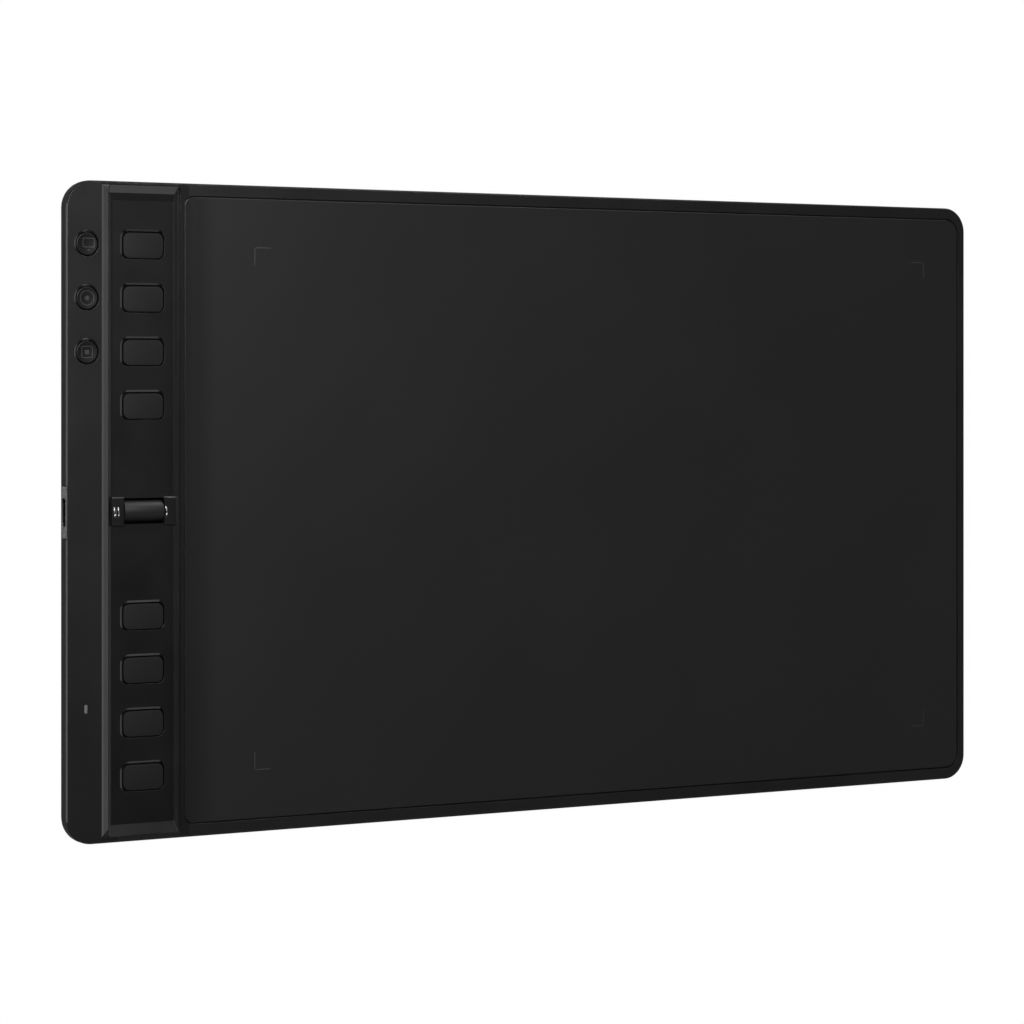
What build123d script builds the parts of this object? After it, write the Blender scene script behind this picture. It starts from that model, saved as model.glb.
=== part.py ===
# Graphics tablet lying on its back: X to the right, Y to the top edge, Z out of the drawing face.
# The origin is the middle of the footprint, at the soles of the rubber feet. Sizes are millimetres.
from build123d import *
import math
import os

os.makedirs("parts", exist_ok=True)

# Case
case_length = 350.0
case_width = 206.4
case_thickness = 8.0
corner_radius = 8.5
rim_height = 2.8        # side of the front cover, down to the parting line
rim_bevel = 0.5
front_wall = 1.5
side_wall = 1.6
back_sweep = 5.0        # radius that carries the side round to the flat back
sweep_draft = 24        # degrees, slope of the cavity's sides inside that radius
tongue_height = 1.0
tongue_thickness = 0.7
cover_gap = 0.1         # between pieces that are assembled face to face

# Control channel beside the left strip
strip_flat = 11.9
strip_chamfer_width = 2.7
strip_chamfer_depth = 1.0
channel_opening = 24.2
channel_depth = 1.4
cove_width = 1.55
lip_thickness = 0.8
lip_drop = 0.1
lip_slope = 0.8         # run of the lip's slanted side
top_margin = 1.1        # rim left outside the upper ramp
top_ramp = 2.5          # steep part of the upper ramp
top_ramp_rise = 1.15
top_apron = 2.3         # gentle part below it
bottom_margin = 1.9
bottom_ramp = 3.4
panel_thickness = 1.2
panel_flange = 1.2

# Drawing sheet
sheet_left_band = 1.1   # cover left between the channel and the sheet's groove
sheet_right_border = 3.1
sheet_border = 3.9
sheet_groove = 0.4
sheet_thickness = 0.8
sheet_left_radius = 3.0
sheet_right_radius = 5.0
sheet_roll = 4.0
sheet_roll_drop = 0.15
sheet_edge = 0.2

# Express keys
keys_per_bank = 4
key_pitch = 16.8
key_end_margin = 19.8   # centre of an end key, from the case's edge
key_inset = 11.95       # centre line of the keys, from the left of the channel
pocket_length = 15.2
pocket_width = 9.6
pocket_radius = 2.7
pocket_chamfer = 0.45
key_gap = 0.15
key_proud = 0.5
key_edge = 0.25
key_wall = 0.9
flange_lap = 0.6
key_flange = 0.5
press_travel = 0.4

# Round mode buttons on the strip
mode_button_x = 7.1     # from the left edge
mode_button_count = 3
button_ring_radius = 4.2
button_ring_chamfer = 0.35
button_gap = 0.25
button_recess = 0.15
button_dish = 0.3
button_flange_lap = 0.6

# Push switches, the same part under every key and button
switch_size = 4.5
switch_height = 1.2
switch_rise = 1.7       # from the board to the top of the stem
switch_lid = 0.25
switch_wall = 0.5
stem_size = 2.0
stem_collar_lap = 0.4   # of the collar past the post
stem_collar = 0.2
stem_gap = 0.1
dome_radius = 1.5
dome_draft = 60         # degrees

# Circuit boards
board_thickness = 1.0
key_board_lift = 0.5    # above the inside of the back
key_board_width = 25.0
board_end_margin = 8.7  # from the case's edge to the ends of the boards
strip_board_end = 11.7  # from the case's edge to the upper end of the strip's board
strip_board_tail = 8.9  # past the status light
strip_board_width = 8.8
sensor_left_gap = 17.0  # from the channel's panel
sensor_right_inset = 9.0
sensor_edge_inset = 11.2
sensor_thickness = 0.8
shield_thickness = 0.3
shield_inset = 5.0
shield_radius = 2.0

# Roller
roller_radius = 3.5
roller_length = 13.3
roller_top_proud = 0.15  # above the front face
roller_slot_gap = 0.6
roller_end_gap = 0.3
sleeve_thickness = 0.8
sleeve_edge = 0.3
axle_radius = 0.8
axle_fit = 0.05
collar_radius = 3.15
collar_gap = 0.15
collar_left_outer = (9.95, 0.8)    # distance of the centre from the roller's centre, and thickness
collar_left_inner = (8.7, 0.5)
collar_right = (7.6, 0.6)
saddle_height = 0.9
saddle_half_width = 4.5
saddle_edge = 0.5
saddle_left = 10.9      # outer end, from the roller's centre
saddle_bore = 2.3
bearing_thickness = 1.1
bearing_radius = 2.0
bearing_left = 7.6      # centre, from the roller's centre
bearing_right = 8.75
cradle_bar = 1.7
cradle_height = 0.6
encoder_thickness = 1.4
encoder_place = 10.2
encoder_radius = 2.0
rotor_radius = 1.25

# Port
port_drop = 2.3         # centre below the front face
port_notch = 0.4
port_notch_length = 16.4
port_shell_width = 8.94
port_shell_height = 3.16
port_shell_wall = 0.3
port_depth = 7.3
port_clearance = 0.1
tongue_width = 6.7
port_tongue = 0.7
tongue_reach = 5.8
contact_pitch = 0.5
contact_width = 0.25
contact_thickness = 0.08
contact_length = 4.4
contacts_per_side = 12

# Status light
light_x = 6.6           # from the left edge
light_margin = 42.1     # from the case's lower edge
light_width = 1.0
light_length = 2.6
light_flange = 0.5
led_size = (0.8, 1.6, 0.6)

# Flat cables, sockets and chips
ribbon_width = 12.0
ribbon_thickness = 0.2
ribbon_y = -25.0
strip_ribbon_width = 8.0
socket_height = 0.9
socket_depth = 3.0
socket_side = 1.0
chip_size = 7.0
chip_side = 4.5
chip_y = 13.0

# Fasteners and feet
case_boss_size = 4.6
case_screw_radius = 0.83
pilot_gap = 0.02        # clearance round a screw in its pilot hole
case_head_radius = 1.9
case_head_height = 1.3
case_head_recess = 0.2
boss_split = 5.0        # where the two covers' bosses meet, above the table
edge_boss_inset = 6.5
corner_boss_inset = 7.6
boss_wall = 0.9         # material outside the screw heads' recesses
board_screw_radius = 0.8
board_head_radius = 1.4
board_head_height = 0.8
board_screw_bite = 1.2
board_screw_inset = 3.0 # from the ends of the boards
board_post_size = 4.0
foot_proud = 0.7
foot_recess = 0.4
foot_length = 44.0
foot_width = 9.0
foot_side_inset = 43.0  # centre of a foot, from the case's sides
foot_edge_inset = 16.2
foot_gap = 0.15
rib_thickness = 1.0

# Levels, from the table up
z_back = foot_proud
z_front = z_back + case_thickness
z_parting = z_front - rim_height
z_front_inner = z_front - front_wall
z_back_inner = z_back + side_wall
z_channel = z_front - channel_depth
z_panel = z_channel - panel_thickness
z_sheet = z_front - sheet_thickness
z_sensor = z_front_inner - cover_gap - sensor_thickness
z_shield = z_sensor - cover_gap / 2 - shield_thickness
z_key_board = z_back_inner + key_board_lift
z_key_board_top = z_key_board + board_thickness
z_port = z_front - port_drop
z_strip_board_top = z_port - port_shell_height / 2
z_strip_board = z_strip_board_top - board_thickness
z_roller = z_front + roller_top_proud - roller_radius

# Places across the case
left = -case_length / 2
channel_left = left + strip_flat + strip_chamfer_width
channel_right = channel_left + channel_opening
floor_left = channel_left + cover_gap + cove_width
floor_right = channel_right - cover_gap - lip_thickness
channel_top = case_width / 2 - top_margin
channel_bottom = bottom_margin - case_width / 2
key_x = channel_left + key_inset
saddle_right = floor_right - key_x
recess_left = channel_right + sheet_left_band
recess_right = case_length / 2 - sheet_right_border
recess_half = case_width / 2 - sheet_border
button_x = left + mode_button_x
sensor_right = case_length / 2 - sensor_right_inset
sensor_left = channel_right + sensor_left_gap
sensor_length = sensor_right - sensor_left
sensor_width = case_width - 2 * sensor_edge_inset
sensor_x = (sensor_left + sensor_right) / 2
board_length = case_width - 2 * board_end_margin
light_y = light_margin - case_width / 2
strip_board_top_y = case_width / 2 - strip_board_end
strip_board_bottom_y = light_y - strip_board_tail
key_board_right = key_x + key_board_width / 2
key_board_left = key_x - key_board_width / 2
strip_board_right = button_x + strip_board_width / 2
end_key_y = case_width / 2 - key_end_margin
upper_keys = [end_key_y - n * key_pitch for n in range(keys_per_bank)]
key_places = upper_keys + [-y for y in reversed(upper_keys)]
button_places = key_places[:mode_button_count]
switch_places = [(key_x, y, z_key_board_top) for y in key_places]
switch_places += [(button_x, y, z_strip_board_top) for y in button_places]
roller_plane = Plane(origin=(key_x, 0, z_roller), x_dir=(0, 1, 0), z_dir=(1, 0, 0))


def on_axis(distance):
    """Plane across the roller's axis, at a distance from the roller's centre."""
    return roller_plane.offset(distance)


def arc_up(start, end):
    """Points of an arc that leaves start level and rises to end, for a ramp or a cove."""
    run = end[0] - start[0]
    rise = end[1] - start[1]
    radius = (run ** 2 + rise ** 2) / (2 * rise)
    half = math.atan2(rise, abs(run))
    middle_run = math.copysign(radius * math.sin(half), run)
    middle = (start[0] + middle_run, start[1] + radius * (1 - math.cos(half)))
    return start, middle, end


def boss_places():
    """Centres of the case screws: the four corners and the middle of the long edges."""
    corner_x = case_length / 2 - corner_boss_inset
    corner_y = case_width / 2 - corner_boss_inset
    edge_y = case_width / 2 - edge_boss_inset
    places = [(x, y) for x in (-corner_x, corner_x) for y in (-corner_y, corner_y)]
    return places + [(sensor_x, -edge_y), (sensor_x, edge_y)]


case_bosses = boss_places()
key_screw_y = board_length / 2 - board_screw_inset
key_board_screws = [(key_x, -key_screw_y), (key_x, key_screw_y)]
strip_board_screws = [(button_x, (button_places[0] + button_places[1]) / 2),
                      (button_x, light_y + key_pitch)]

# Space above the channel's floor and ramps, from end to end, drawn with Y across and Z up
with BuildSketch() as channel_profile:
    with BuildLine():
        ramp_foot = channel_top - top_ramp
        Polyline((channel_bottom, z_front), (channel_bottom + bottom_ramp, z_channel),
                 (ramp_foot - top_apron, z_channel), (ramp_foot, z_front - top_ramp_rise),
                 (channel_top, z_front), close=True)
    make_face()

# Wedge that the strip's bright chamfer takes off, run out by the ramps at both ends
with BuildPart() as chamfer_wedge:
    with BuildSketch(Plane.YZ.offset(channel_left - strip_chamfer_width)):
        add(channel_profile.sketch)
    extrude(amount=strip_chamfer_width + cover_gap)
    with BuildSketch(Plane.XZ.offset(-case_width / 2)):
        with BuildLine():
            Polyline((channel_left - strip_chamfer_width, z_front),
                     (channel_left, z_front - strip_chamfer_depth),
                     (channel_left + cover_gap, z_front - strip_chamfer_depth),
                     (channel_left + cover_gap, z_front), close=True)
        make_face()
    extrude(amount=case_width, mode=Mode.INTERSECT)

# Notch in the left side round the port, with slanted ends, and the hole for the port's shell
with BuildPart() as port_cut:
    with BuildSketch(Plane.XY):
        with BuildLine():
            half = port_notch_length / 2
            Polyline((left - port_notch, -half - 2 * port_notch), (left + port_notch, -half),
                     (left + port_notch, half), (left - port_notch, half + 2 * port_notch), close=True)
        make_face()
    extrude(amount=z_front)
    with BuildSketch(Plane(origin=(left, 0, z_port), x_dir=(0, 1, 0), z_dir=(1, 0, 0))):
        SlotOverall(port_shell_width + 2 * port_clearance, port_shell_height + 2 * port_clearance)
    extrude(amount=port_notch + port_depth + 2 * port_clearance)

# Front cover
with BuildPart() as top_cover:
    with BuildSketch(Plane.XY.offset(z_parting)):
        RectangleRounded(case_length, case_width, corner_radius)
    extrude(amount=rim_height)
    chamfer(top_cover.faces().sort_by(Axis.Z)[-1].edges(), rim_bevel)
    with BuildSketch(Plane.XY.offset(z_parting)):
        RectangleRounded(case_length - 2 * side_wall, case_width - 2 * side_wall, corner_radius - side_wall)
    extrude(amount=z_front_inner - z_parting, mode=Mode.SUBTRACT)
    # Rebate that takes the back cover's tongue
    rebate = side_wall - tongue_thickness - cover_gap
    with BuildSketch(Plane.XY.offset(z_parting)):
        RectangleRounded(case_length - 2 * rebate, case_width - 2 * rebate, corner_radius - rebate)
    extrude(amount=tongue_height + cover_gap, mode=Mode.SUBTRACT)
    # Recess for the sheet
    with BuildSketch(Plane.XY.offset(z_sheet)) as recess_outline:
        with Locations(((recess_left + recess_right) / 2, 0)):
            Rectangle(recess_right - recess_left, 2 * recess_half)
        left_corners = recess_outline.vertices().group_by(Axis.X)[0]
        fillet(left_corners, sheet_left_radius + sheet_groove)
        right_corners = recess_outline.vertices().group_by(Axis.X)[-1]
        fillet(right_corners, sheet_right_radius + sheet_groove)
    extrude(amount=sheet_thickness, mode=Mode.SUBTRACT)
    # Bosses for the case screws
    with BuildSketch(Plane.XY.offset(boss_split)):
        with Locations(*case_bosses):
            Rectangle(case_boss_size, case_boss_size)
    extrude(amount=z_front_inner - boss_split)
    with BuildSketch(Plane.XY.offset(boss_split)):
        with Locations(*case_bosses):
            Circle(case_screw_radius + pilot_gap)
    extrude(amount=z_front_inner - boss_split, mode=Mode.SUBTRACT)
    # Channel opening, chamfered strip and port
    with BuildSketch(Plane.XY.offset(z_front_inner)):
        with Locations(((channel_left + channel_right) / 2, (channel_top + channel_bottom) / 2)):
            Rectangle(channel_opening, channel_top - channel_bottom + 2 * cover_gap)
    extrude(amount=front_wall, mode=Mode.SUBTRACT)
    add(chamfer_wedge.part, mode=Mode.SUBTRACT)
    add(port_cut.part, mode=Mode.SUBTRACT)
    # Holes for the mode buttons, each with a chamfered mouth
    with BuildSketch(Plane.XY.offset(z_front)):
        with Locations(*[(button_x, y) for y in button_places]):
            Circle(button_ring_radius)
    extrude(amount=-button_ring_chamfer, taper=45, mode=Mode.SUBTRACT)
    with BuildSketch(Plane.XY.offset(z_front)):
        with Locations(*[(button_x, y) for y in button_places]):
            Circle(button_ring_radius - button_ring_chamfer)
    extrude(amount=-front_wall, mode=Mode.SUBTRACT)
    # Window of the status light
    with BuildSketch(Plane.XY.offset(z_front)):
        with Locations((left + light_x, light_y)):
            Rectangle(light_width + cover_gap, light_length + cover_gap)
    extrude(amount=-front_wall, mode=Mode.SUBTRACT)
top_cover.part.label = "top_cover"
export_step(top_cover.part, "parts/top_cover.step")

# Back cover
with BuildPart() as bottom_cover:
    with BuildSketch(Plane.XY.offset(z_back)):
        RectangleRounded(case_length, case_width, corner_radius)
    extrude(amount=z_parting - z_back)
    fillet(bottom_cover.faces().sort_by(Axis.Z)[0].edges(), back_sweep)
    with BuildSketch(Plane.XY.offset(z_parting)):
        RectangleRounded(case_length - 2 * side_wall, case_width - 2 * side_wall, corner_radius - side_wall)
    extrude(amount=z_back_inner - z_parting, taper=sweep_draft, mode=Mode.SUBTRACT)
    # Tongue that centres the front cover
    tongue_outer = side_wall - tongue_thickness
    with BuildSketch(Plane.XY.offset(z_parting)):
        RectangleRounded(case_length - 2 * tongue_outer, case_width - 2 * tongue_outer,
                         corner_radius - tongue_outer)
        RectangleRounded(case_length - 2 * side_wall, case_width - 2 * side_wall,
                         corner_radius - side_wall, mode=Mode.SUBTRACT)
    extrude(amount=tongue_height)
    # Ribs that carry the sensor board and its shield
    rib_height = z_shield - cover_gap - z_back_inner
    with BuildSketch(Plane.XY.offset(z_back_inner)):
        with Locations(*[(sensor_x, n * sensor_width / 5) for n in (-2, -1, 0, 1, 2)]):
            Rectangle(sensor_length - 2 * shield_inset, rib_thickness)
        with Locations(*[(sensor_x + n * sensor_length / 6, 0) for n in (-2, -1, 0, 1, 2)]):
            Rectangle(rib_thickness, sensor_width - 2 * shield_inset)
    extrude(amount=rib_height)
    # Posts under the boards
    with BuildSketch(Plane.XY.offset(z_back_inner)):
        with Locations(*key_board_screws):
            Rectangle(board_post_size, board_post_size)
    extrude(amount=z_key_board - z_back_inner)
    with BuildSketch(Plane.XY.offset(z_back_inner)):
        with Locations(*strip_board_screws):
            Rectangle(board_post_size, board_post_size)
    extrude(amount=z_strip_board - z_back_inner)
    # Bosses and stepped holes for the case screws
    with BuildSketch(Plane.XY.offset(z_back_inner)):
        boss_size = 2 * (case_head_radius + cover_gap + boss_wall)
        with Locations(*case_bosses):
            Rectangle(boss_size, boss_size)
    extrude(amount=boss_split - cover_gap - z_back_inner)
    with BuildSketch(Plane.XY.offset(z_back)):
        with Locations(*case_bosses):
            Circle(case_screw_radius + 2 * cover_gap)
    extrude(amount=boss_split - z_back, mode=Mode.SUBTRACT)
    with BuildSketch(Plane.XY.offset(z_back)):
        with Locations(*case_bosses):
            Circle(case_head_radius + cover_gap)
    extrude(amount=case_head_recess + case_head_height, mode=Mode.SUBTRACT)
    # Blind holes for the board screws
    with BuildSketch(Plane.XY.offset(z_key_board - board_screw_bite - cover_gap)):
        with Locations(*key_board_screws):
            Circle(board_screw_radius + pilot_gap)
    extrude(amount=board_screw_bite + cover_gap, mode=Mode.SUBTRACT)
    with BuildSketch(Plane.XY.offset(z_strip_board - board_screw_bite - cover_gap)):
        with Locations(*strip_board_screws):
            Circle(board_screw_radius + pilot_gap)
    extrude(amount=board_screw_bite + cover_gap, mode=Mode.SUBTRACT)
    # Relief under the roller
    with BuildSketch(Plane.XY.offset(z_roller - roller_radius - 3 * cover_gap)):
        with Locations((key_x, 0)):
            Rectangle(2 * saddle_left, 2 * (roller_radius + roller_slot_gap))
    extrude(amount=side_wall, mode=Mode.SUBTRACT)
    # Recesses for the feet
    with BuildSketch(Plane.XY.offset(z_back)):
        with GridLocations(case_length - 2 * foot_side_inset, case_width - 2 * foot_edge_inset, 2, 2):
            SlotOverall(foot_length + 2 * foot_gap, foot_width + 2 * foot_gap)
    extrude(amount=foot_recess, mode=Mode.SUBTRACT)
    add(port_cut.part, mode=Mode.SUBTRACT)
bottom_cover.part.label = "bottom_cover"
export_step(bottom_cover.part, "parts/bottom_cover.step")

# Glossy panel that lines the channel
with BuildPart() as key_panel:
    panel_left = channel_left + cover_gap
    panel_right = channel_right - cover_gap
    panel_middle = (panel_left + panel_right) / 2
    with BuildSketch(Plane.XY.offset(z_front_inner)):
        with Locations((panel_middle, (channel_top + channel_bottom) / 2)):
            Rectangle(panel_right - panel_left, channel_top - channel_bottom)
    extrude(amount=front_wall)
    with BuildSketch(Plane.YZ.offset(panel_left)):
        add(channel_profile.sketch)
    extrude(amount=panel_right - panel_left, mode=Mode.SUBTRACT)
    # Cove at the left and lip at the right
    with BuildSketch(Plane.XZ.offset(-channel_top)):
        with BuildLine():
            cove = arc_up((floor_left, z_channel), (panel_left, z_front - strip_chamfer_depth))
            ThreePointArc(*cove)
            Polyline(cove[2], (panel_left, z_channel), cove[0])
        make_face()
        with BuildLine():
            Polyline((floor_right - lip_slope, z_channel), (floor_right, z_front - lip_drop),
                     (panel_right, z_front - lip_drop), (panel_right, z_channel), close=True)
        make_face()
    extrude(amount=channel_top - channel_bottom)
    # Flange under the cover
    flange_half = case_width / 2 - side_wall - 2 * cover_gap
    with BuildSketch(Plane.XY.offset(z_panel)):
        with Locations((panel_middle, 0)):
            Rectangle(panel_right - panel_left + 2 * panel_flange, 2 * flange_half)
    extrude(amount=z_front_inner - cover_gap - z_panel)
    with BuildSketch(Plane.XY.offset(z_panel)):
        with Locations((panel_middle, 0)):
            Rectangle(panel_right - panel_left, 2 * flange_half)
    extrude(amount=z_front_inner - z_panel)
    # Raised saddles at the ends of the roller
    saddle_inner = roller_length / 2 + roller_end_gap
    for start, end in ((-saddle_left, -saddle_inner), (saddle_inner, saddle_right)):
        with BuildSketch(on_axis(start)) as saddle_outline:
            with Locations((0, z_panel + (panel_thickness + saddle_height) / 2 - z_roller)):
                Rectangle(2 * saddle_half_width, panel_thickness + saddle_height)
            fillet(saddle_outline.vertices().group_by(Axis.Z)[-1], saddle_edge)
        extrude(amount=end - start)
    # Pockets of the keys
    with BuildSketch(Plane.XY.offset(z_channel)):
        with Locations(*[(key_x, y) for y in key_places]):
            RectangleRounded(pocket_length, pocket_width, pocket_radius)
    extrude(amount=-pocket_chamfer, taper=45, mode=Mode.SUBTRACT)
    with BuildSketch(Plane.XY.offset(z_channel)):
        with Locations(*[(key_x, y) for y in key_places]):
            RectangleRounded(pocket_length - 2 * pocket_chamfer, pocket_width - 2 * pocket_chamfer,
                             pocket_radius - pocket_chamfer)
    extrude(amount=-panel_thickness, mode=Mode.SUBTRACT)
    # Slot of the roller, room for its bearings and slots for its collars
    with BuildSketch(Plane.XY.offset(z_panel)):
        with Locations((key_x, 0)):
            Rectangle(2 * saddle_inner, 2 * (roller_radius + roller_slot_gap))
    extrude(amount=case_thickness, mode=Mode.SUBTRACT)
    with BuildSketch(on_axis(-saddle_left - cover_gap)):
        Circle(saddle_bore)
    extrude(amount=saddle_left + encoder_place + encoder_thickness / 2 + 3 * cover_gap, mode=Mode.SUBTRACT)
    for place, width in ((-collar_left_outer[0], collar_left_outer[1]),
                         (-collar_left_inner[0], collar_left_inner[1]),
                         (collar_right[0], collar_right[1])):
        with BuildSketch(on_axis(place - width / 2 - collar_gap)):
            Circle(collar_radius + collar_gap)
        extrude(amount=width + 2 * collar_gap, mode=Mode.SUBTRACT)
key_panel.part.label = "key_panel"
export_step(key_panel.part, "parts/key_panel.step")

# Drawing sheet, let into the front cover, with its left edge rolled down
with BuildPart() as drawing_sheet:
    sheet_left = recess_left + sheet_groove
    sheet_right = recess_right - sheet_groove
    with BuildSketch(Plane.XY.offset(z_sheet)) as sheet_outline:
        with Locations(((sheet_left + sheet_right) / 2, 0)):
            Rectangle(sheet_right - sheet_left, 2 * (recess_half - sheet_groove))
        fillet(sheet_outline.vertices().group_by(Axis.X)[0], sheet_left_radius)
        fillet(sheet_outline.vertices().group_by(Axis.X)[-1], sheet_right_radius)
    extrude(amount=sheet_thickness)
    chamfer(drawing_sheet.faces().sort_by(Axis.Z)[-1].edges(), sheet_edge)
    with BuildSketch(Plane.XZ.offset(-recess_half)):
        with BuildLine():
            Polyline((sheet_left, z_front - sheet_roll_drop), (sheet_left + sheet_roll, z_front),
                     (sheet_left, z_front), close=True)
        make_face()
    extrude(amount=2 * recess_half, mode=Mode.SUBTRACT)
drawing_sheet.part.label = "drawing_sheet"
export_step(drawing_sheet.part, "parts/drawing_sheet.step")

# Sensor board under the sheet and the steel shield behind it
with BuildPart() as sensor_board:
    with BuildSketch(Plane.XY.offset(z_sensor)):
        with Locations((sensor_x, 0)):
            Rectangle(sensor_length, sensor_width)
    extrude(amount=sensor_thickness)
sensor_board.part.label = "sensor_board"
export_step(sensor_board.part, "parts/sensor_board.step")

with BuildPart() as shield_plate:
    with BuildSketch(Plane.XY.offset(z_shield)):
        with Locations((sensor_x, 0)):
            RectangleRounded(sensor_length - 2 * shield_inset, sensor_width - 2 * shield_inset, shield_radius)
    extrude(amount=shield_thickness)
shield_plate.part.label = "shield_plate"
export_step(shield_plate.part, "parts/shield_plate.step")

# Board under the keys, open where the roller turns
with BuildPart() as key_board:
    with BuildSketch(Plane.XY.offset(z_key_board)):
        with Locations((key_x, 0)):
            Rectangle(key_board_width, board_length)
            Rectangle(2 * saddle_left, 2 * (roller_radius + roller_slot_gap), mode=Mode.SUBTRACT)
        with Locations(*key_board_screws):
            Circle(board_screw_radius + cover_gap, mode=Mode.SUBTRACT)
    extrude(amount=board_thickness)
key_board.part.label = "key_board"
export_step(key_board.part, "parts/key_board.step")

# Board under the strip, with the port, the status light and the mode switches
with BuildPart() as strip_board:
    with BuildSketch(Plane.XY.offset(z_strip_board)):
        with Locations((button_x, (strip_board_top_y + strip_board_bottom_y) / 2)):
            Rectangle(strip_board_width, strip_board_top_y - strip_board_bottom_y)
        with Locations(*strip_board_screws):
            Circle(board_screw_radius + cover_gap, mode=Mode.SUBTRACT)
    extrude(amount=board_thickness)
strip_board.part.label = "strip_board"
export_step(strip_board.part, "parts/strip_board.step")

# Switch housings, with the square cavity in which the stem slides
with BuildPart() as switch_housings:
    cavity = switch_size - 2 * switch_wall
    for x, y, z in switch_places:
        with BuildSketch(Plane((x, y, z))):
            Rectangle(switch_size, switch_size)
        extrude(amount=switch_height)
        with BuildSketch(Plane((x, y, z + switch_lid / 2))):
            Rectangle(cavity, cavity)
        extrude(amount=switch_height - 1.5 * switch_lid, mode=Mode.SUBTRACT)
        with BuildSketch(Plane((x, y, z + switch_height / 2))):
            Rectangle(stem_size + 2 * stem_gap, stem_size + 2 * stem_gap)
        extrude(amount=switch_height, mode=Mode.SUBTRACT)
switch_housings.part.label = "switch_housings"
export_step(switch_housings.part, "parts/switch_housings.step")

# Four-legged snap domes on the floors of the housings
with BuildPart() as switch_domes:
    dome_height = switch_height - 1.5 * switch_lid - stem_collar - stem_gap - press_travel
    for x, y, z in switch_places:
        with BuildSketch(Plane((x, y, z + switch_lid / 2))):
            Rectangle(2 * dome_radius, 2 * dome_radius)
        extrude(amount=dome_height, taper=dome_draft)
switch_domes.part.label = "switch_domes"
export_step(switch_domes.part, "parts/switch_domes.step")


def make_stem(x, y, board_top):
    """Stem of a switch: a square collar inside the housing and a post that meets the key."""
    collar_z = board_top + switch_height - switch_lid - stem_collar - stem_gap / 2
    collar_size = stem_size + 2 * stem_collar_lap
    with BuildPart() as stem:
        with BuildSketch(Plane((x, y, collar_z))):
            Rectangle(collar_size, collar_size)
        extrude(amount=stem_collar)
        with BuildSketch(Plane((x, y, collar_z))):
            Rectangle(stem_size, stem_size)
        extrude(amount=board_top + switch_rise - collar_z)
    return stem


def make_key(y):
    """Express key: rounded cap, hollow below round a post, with a flange that keeps it in."""
    key_bottom = z_key_board_top + switch_rise
    with BuildPart() as key:
        with BuildSketch(Plane((key_x, y, key_bottom))):
            Rectangle(pocket_length - 2 * pocket_chamfer + 2 * flange_lap,
                      pocket_width - 2 * pocket_chamfer + 2 * flange_lap)
        extrude(amount=key_flange)
        with BuildSketch(Plane((key_x, y, key_bottom))):
            RectangleRounded(pocket_length - 2 * pocket_chamfer - 2 * key_gap,
                             pocket_width - 2 * pocket_chamfer - 2 * key_gap,
                             pocket_radius - pocket_chamfer - key_gap)
        extrude(amount=z_channel + key_proud - key_bottom)
        chamfer(key.faces().sort_by(Axis.Z)[-1].edges(), key_edge)
        with BuildSketch(Plane((key_x, y, key_bottom))):
            Rectangle(pocket_length - 2 * (pocket_radius + key_gap),
                      pocket_width - 2 * (pocket_chamfer + key_gap + key_wall))
            Rectangle(2 * stem_size, 2 * stem_size, mode=Mode.SUBTRACT)
        extrude(amount=z_channel + key_proud - key_wall - key_bottom, mode=Mode.SUBTRACT)
    return key


def make_button(y):
    """Round mode button with a dished face and a flange under the strip."""
    hole_radius = button_ring_radius - button_ring_chamfer
    face_radius = hole_radius - button_gap
    bottom = z_strip_board_top + switch_rise
    face = z_front - button_recess
    dish_slope = math.degrees(math.atan2(face_radius / 2, button_dish))
    with BuildPart() as button:
        with BuildSketch(Plane((button_x, y, bottom))):
            Circle(hole_radius + button_flange_lap)
        extrude(amount=z_front_inner - cover_gap - bottom)
        with BuildSketch(Plane((button_x, y, bottom))):
            Circle(face_radius)
        extrude(amount=face - bottom)
        chamfer(button.faces().sort_by(Axis.Z)[-1].edges(), sheet_edge)
        with BuildSketch(Plane((button_x, y, face))):
            Circle(face_radius - 2 * sheet_edge)
        extrude(amount=-button_dish, taper=dish_slope, mode=Mode.SUBTRACT)
    return button


for number, key_y in enumerate(key_places, 1):
    key = make_key(key_y)
    key.part.label = f"key_{number}"
    export_step(key.part, f"parts/key_{number}.step")
    stem = make_stem(key_x, key_y, z_key_board_top)
    stem.part.label = f"switch_stem_{number}"
    export_step(stem.part, f"parts/switch_stem_{number}.step")

for number, button_y in enumerate(button_places, 1):
    button = make_button(button_y)
    button.part.label = f"mode_button_{number}"
    export_step(button.part, f"parts/mode_button_{number}.step")
    stem = make_stem(button_x, button_y, z_strip_board_top)
    stem.part.label = f"mode_stem_{number}"
    export_step(stem.part, f"parts/mode_stem_{number}.step")

# Roller: steel axle, plastic drum, outer sleeve, steel collars and the encoder's rotor
with BuildPart() as roller_axle:
    axle_start = collar_left_outer[0] + collar_left_outer[1]
    with BuildSketch(on_axis(-axle_start)):
        Circle(axle_radius)
    extrude(amount=axle_start + encoder_place + encoder_thickness / 2)
roller_axle.part.label = "roller_axle"
export_step(roller_axle.part, "parts/roller_axle.step")

with BuildPart() as roller_drum:
    with BuildSketch(on_axis(-roller_length / 2)):
        Circle(roller_radius - sleeve_thickness)
        Circle(axle_radius, mode=Mode.SUBTRACT)
    extrude(amount=roller_length)
roller_drum.part.label = "roller_drum"
export_step(roller_drum.part, "parts/roller_drum.step")

with BuildPart() as roller_sleeve:
    with BuildSketch(on_axis(-roller_length / 2)):
        Circle(roller_radius)
    extrude(amount=roller_length)
    chamfer(roller_sleeve.edges().filter_by(GeomType.CIRCLE), sleeve_edge)
    with BuildSketch(on_axis(-roller_length / 2)):
        Circle(roller_radius - sleeve_thickness)
    extrude(amount=roller_length, mode=Mode.SUBTRACT)
roller_sleeve.part.label = "roller_sleeve"
export_step(roller_sleeve.part, "parts/roller_sleeve.step")

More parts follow.
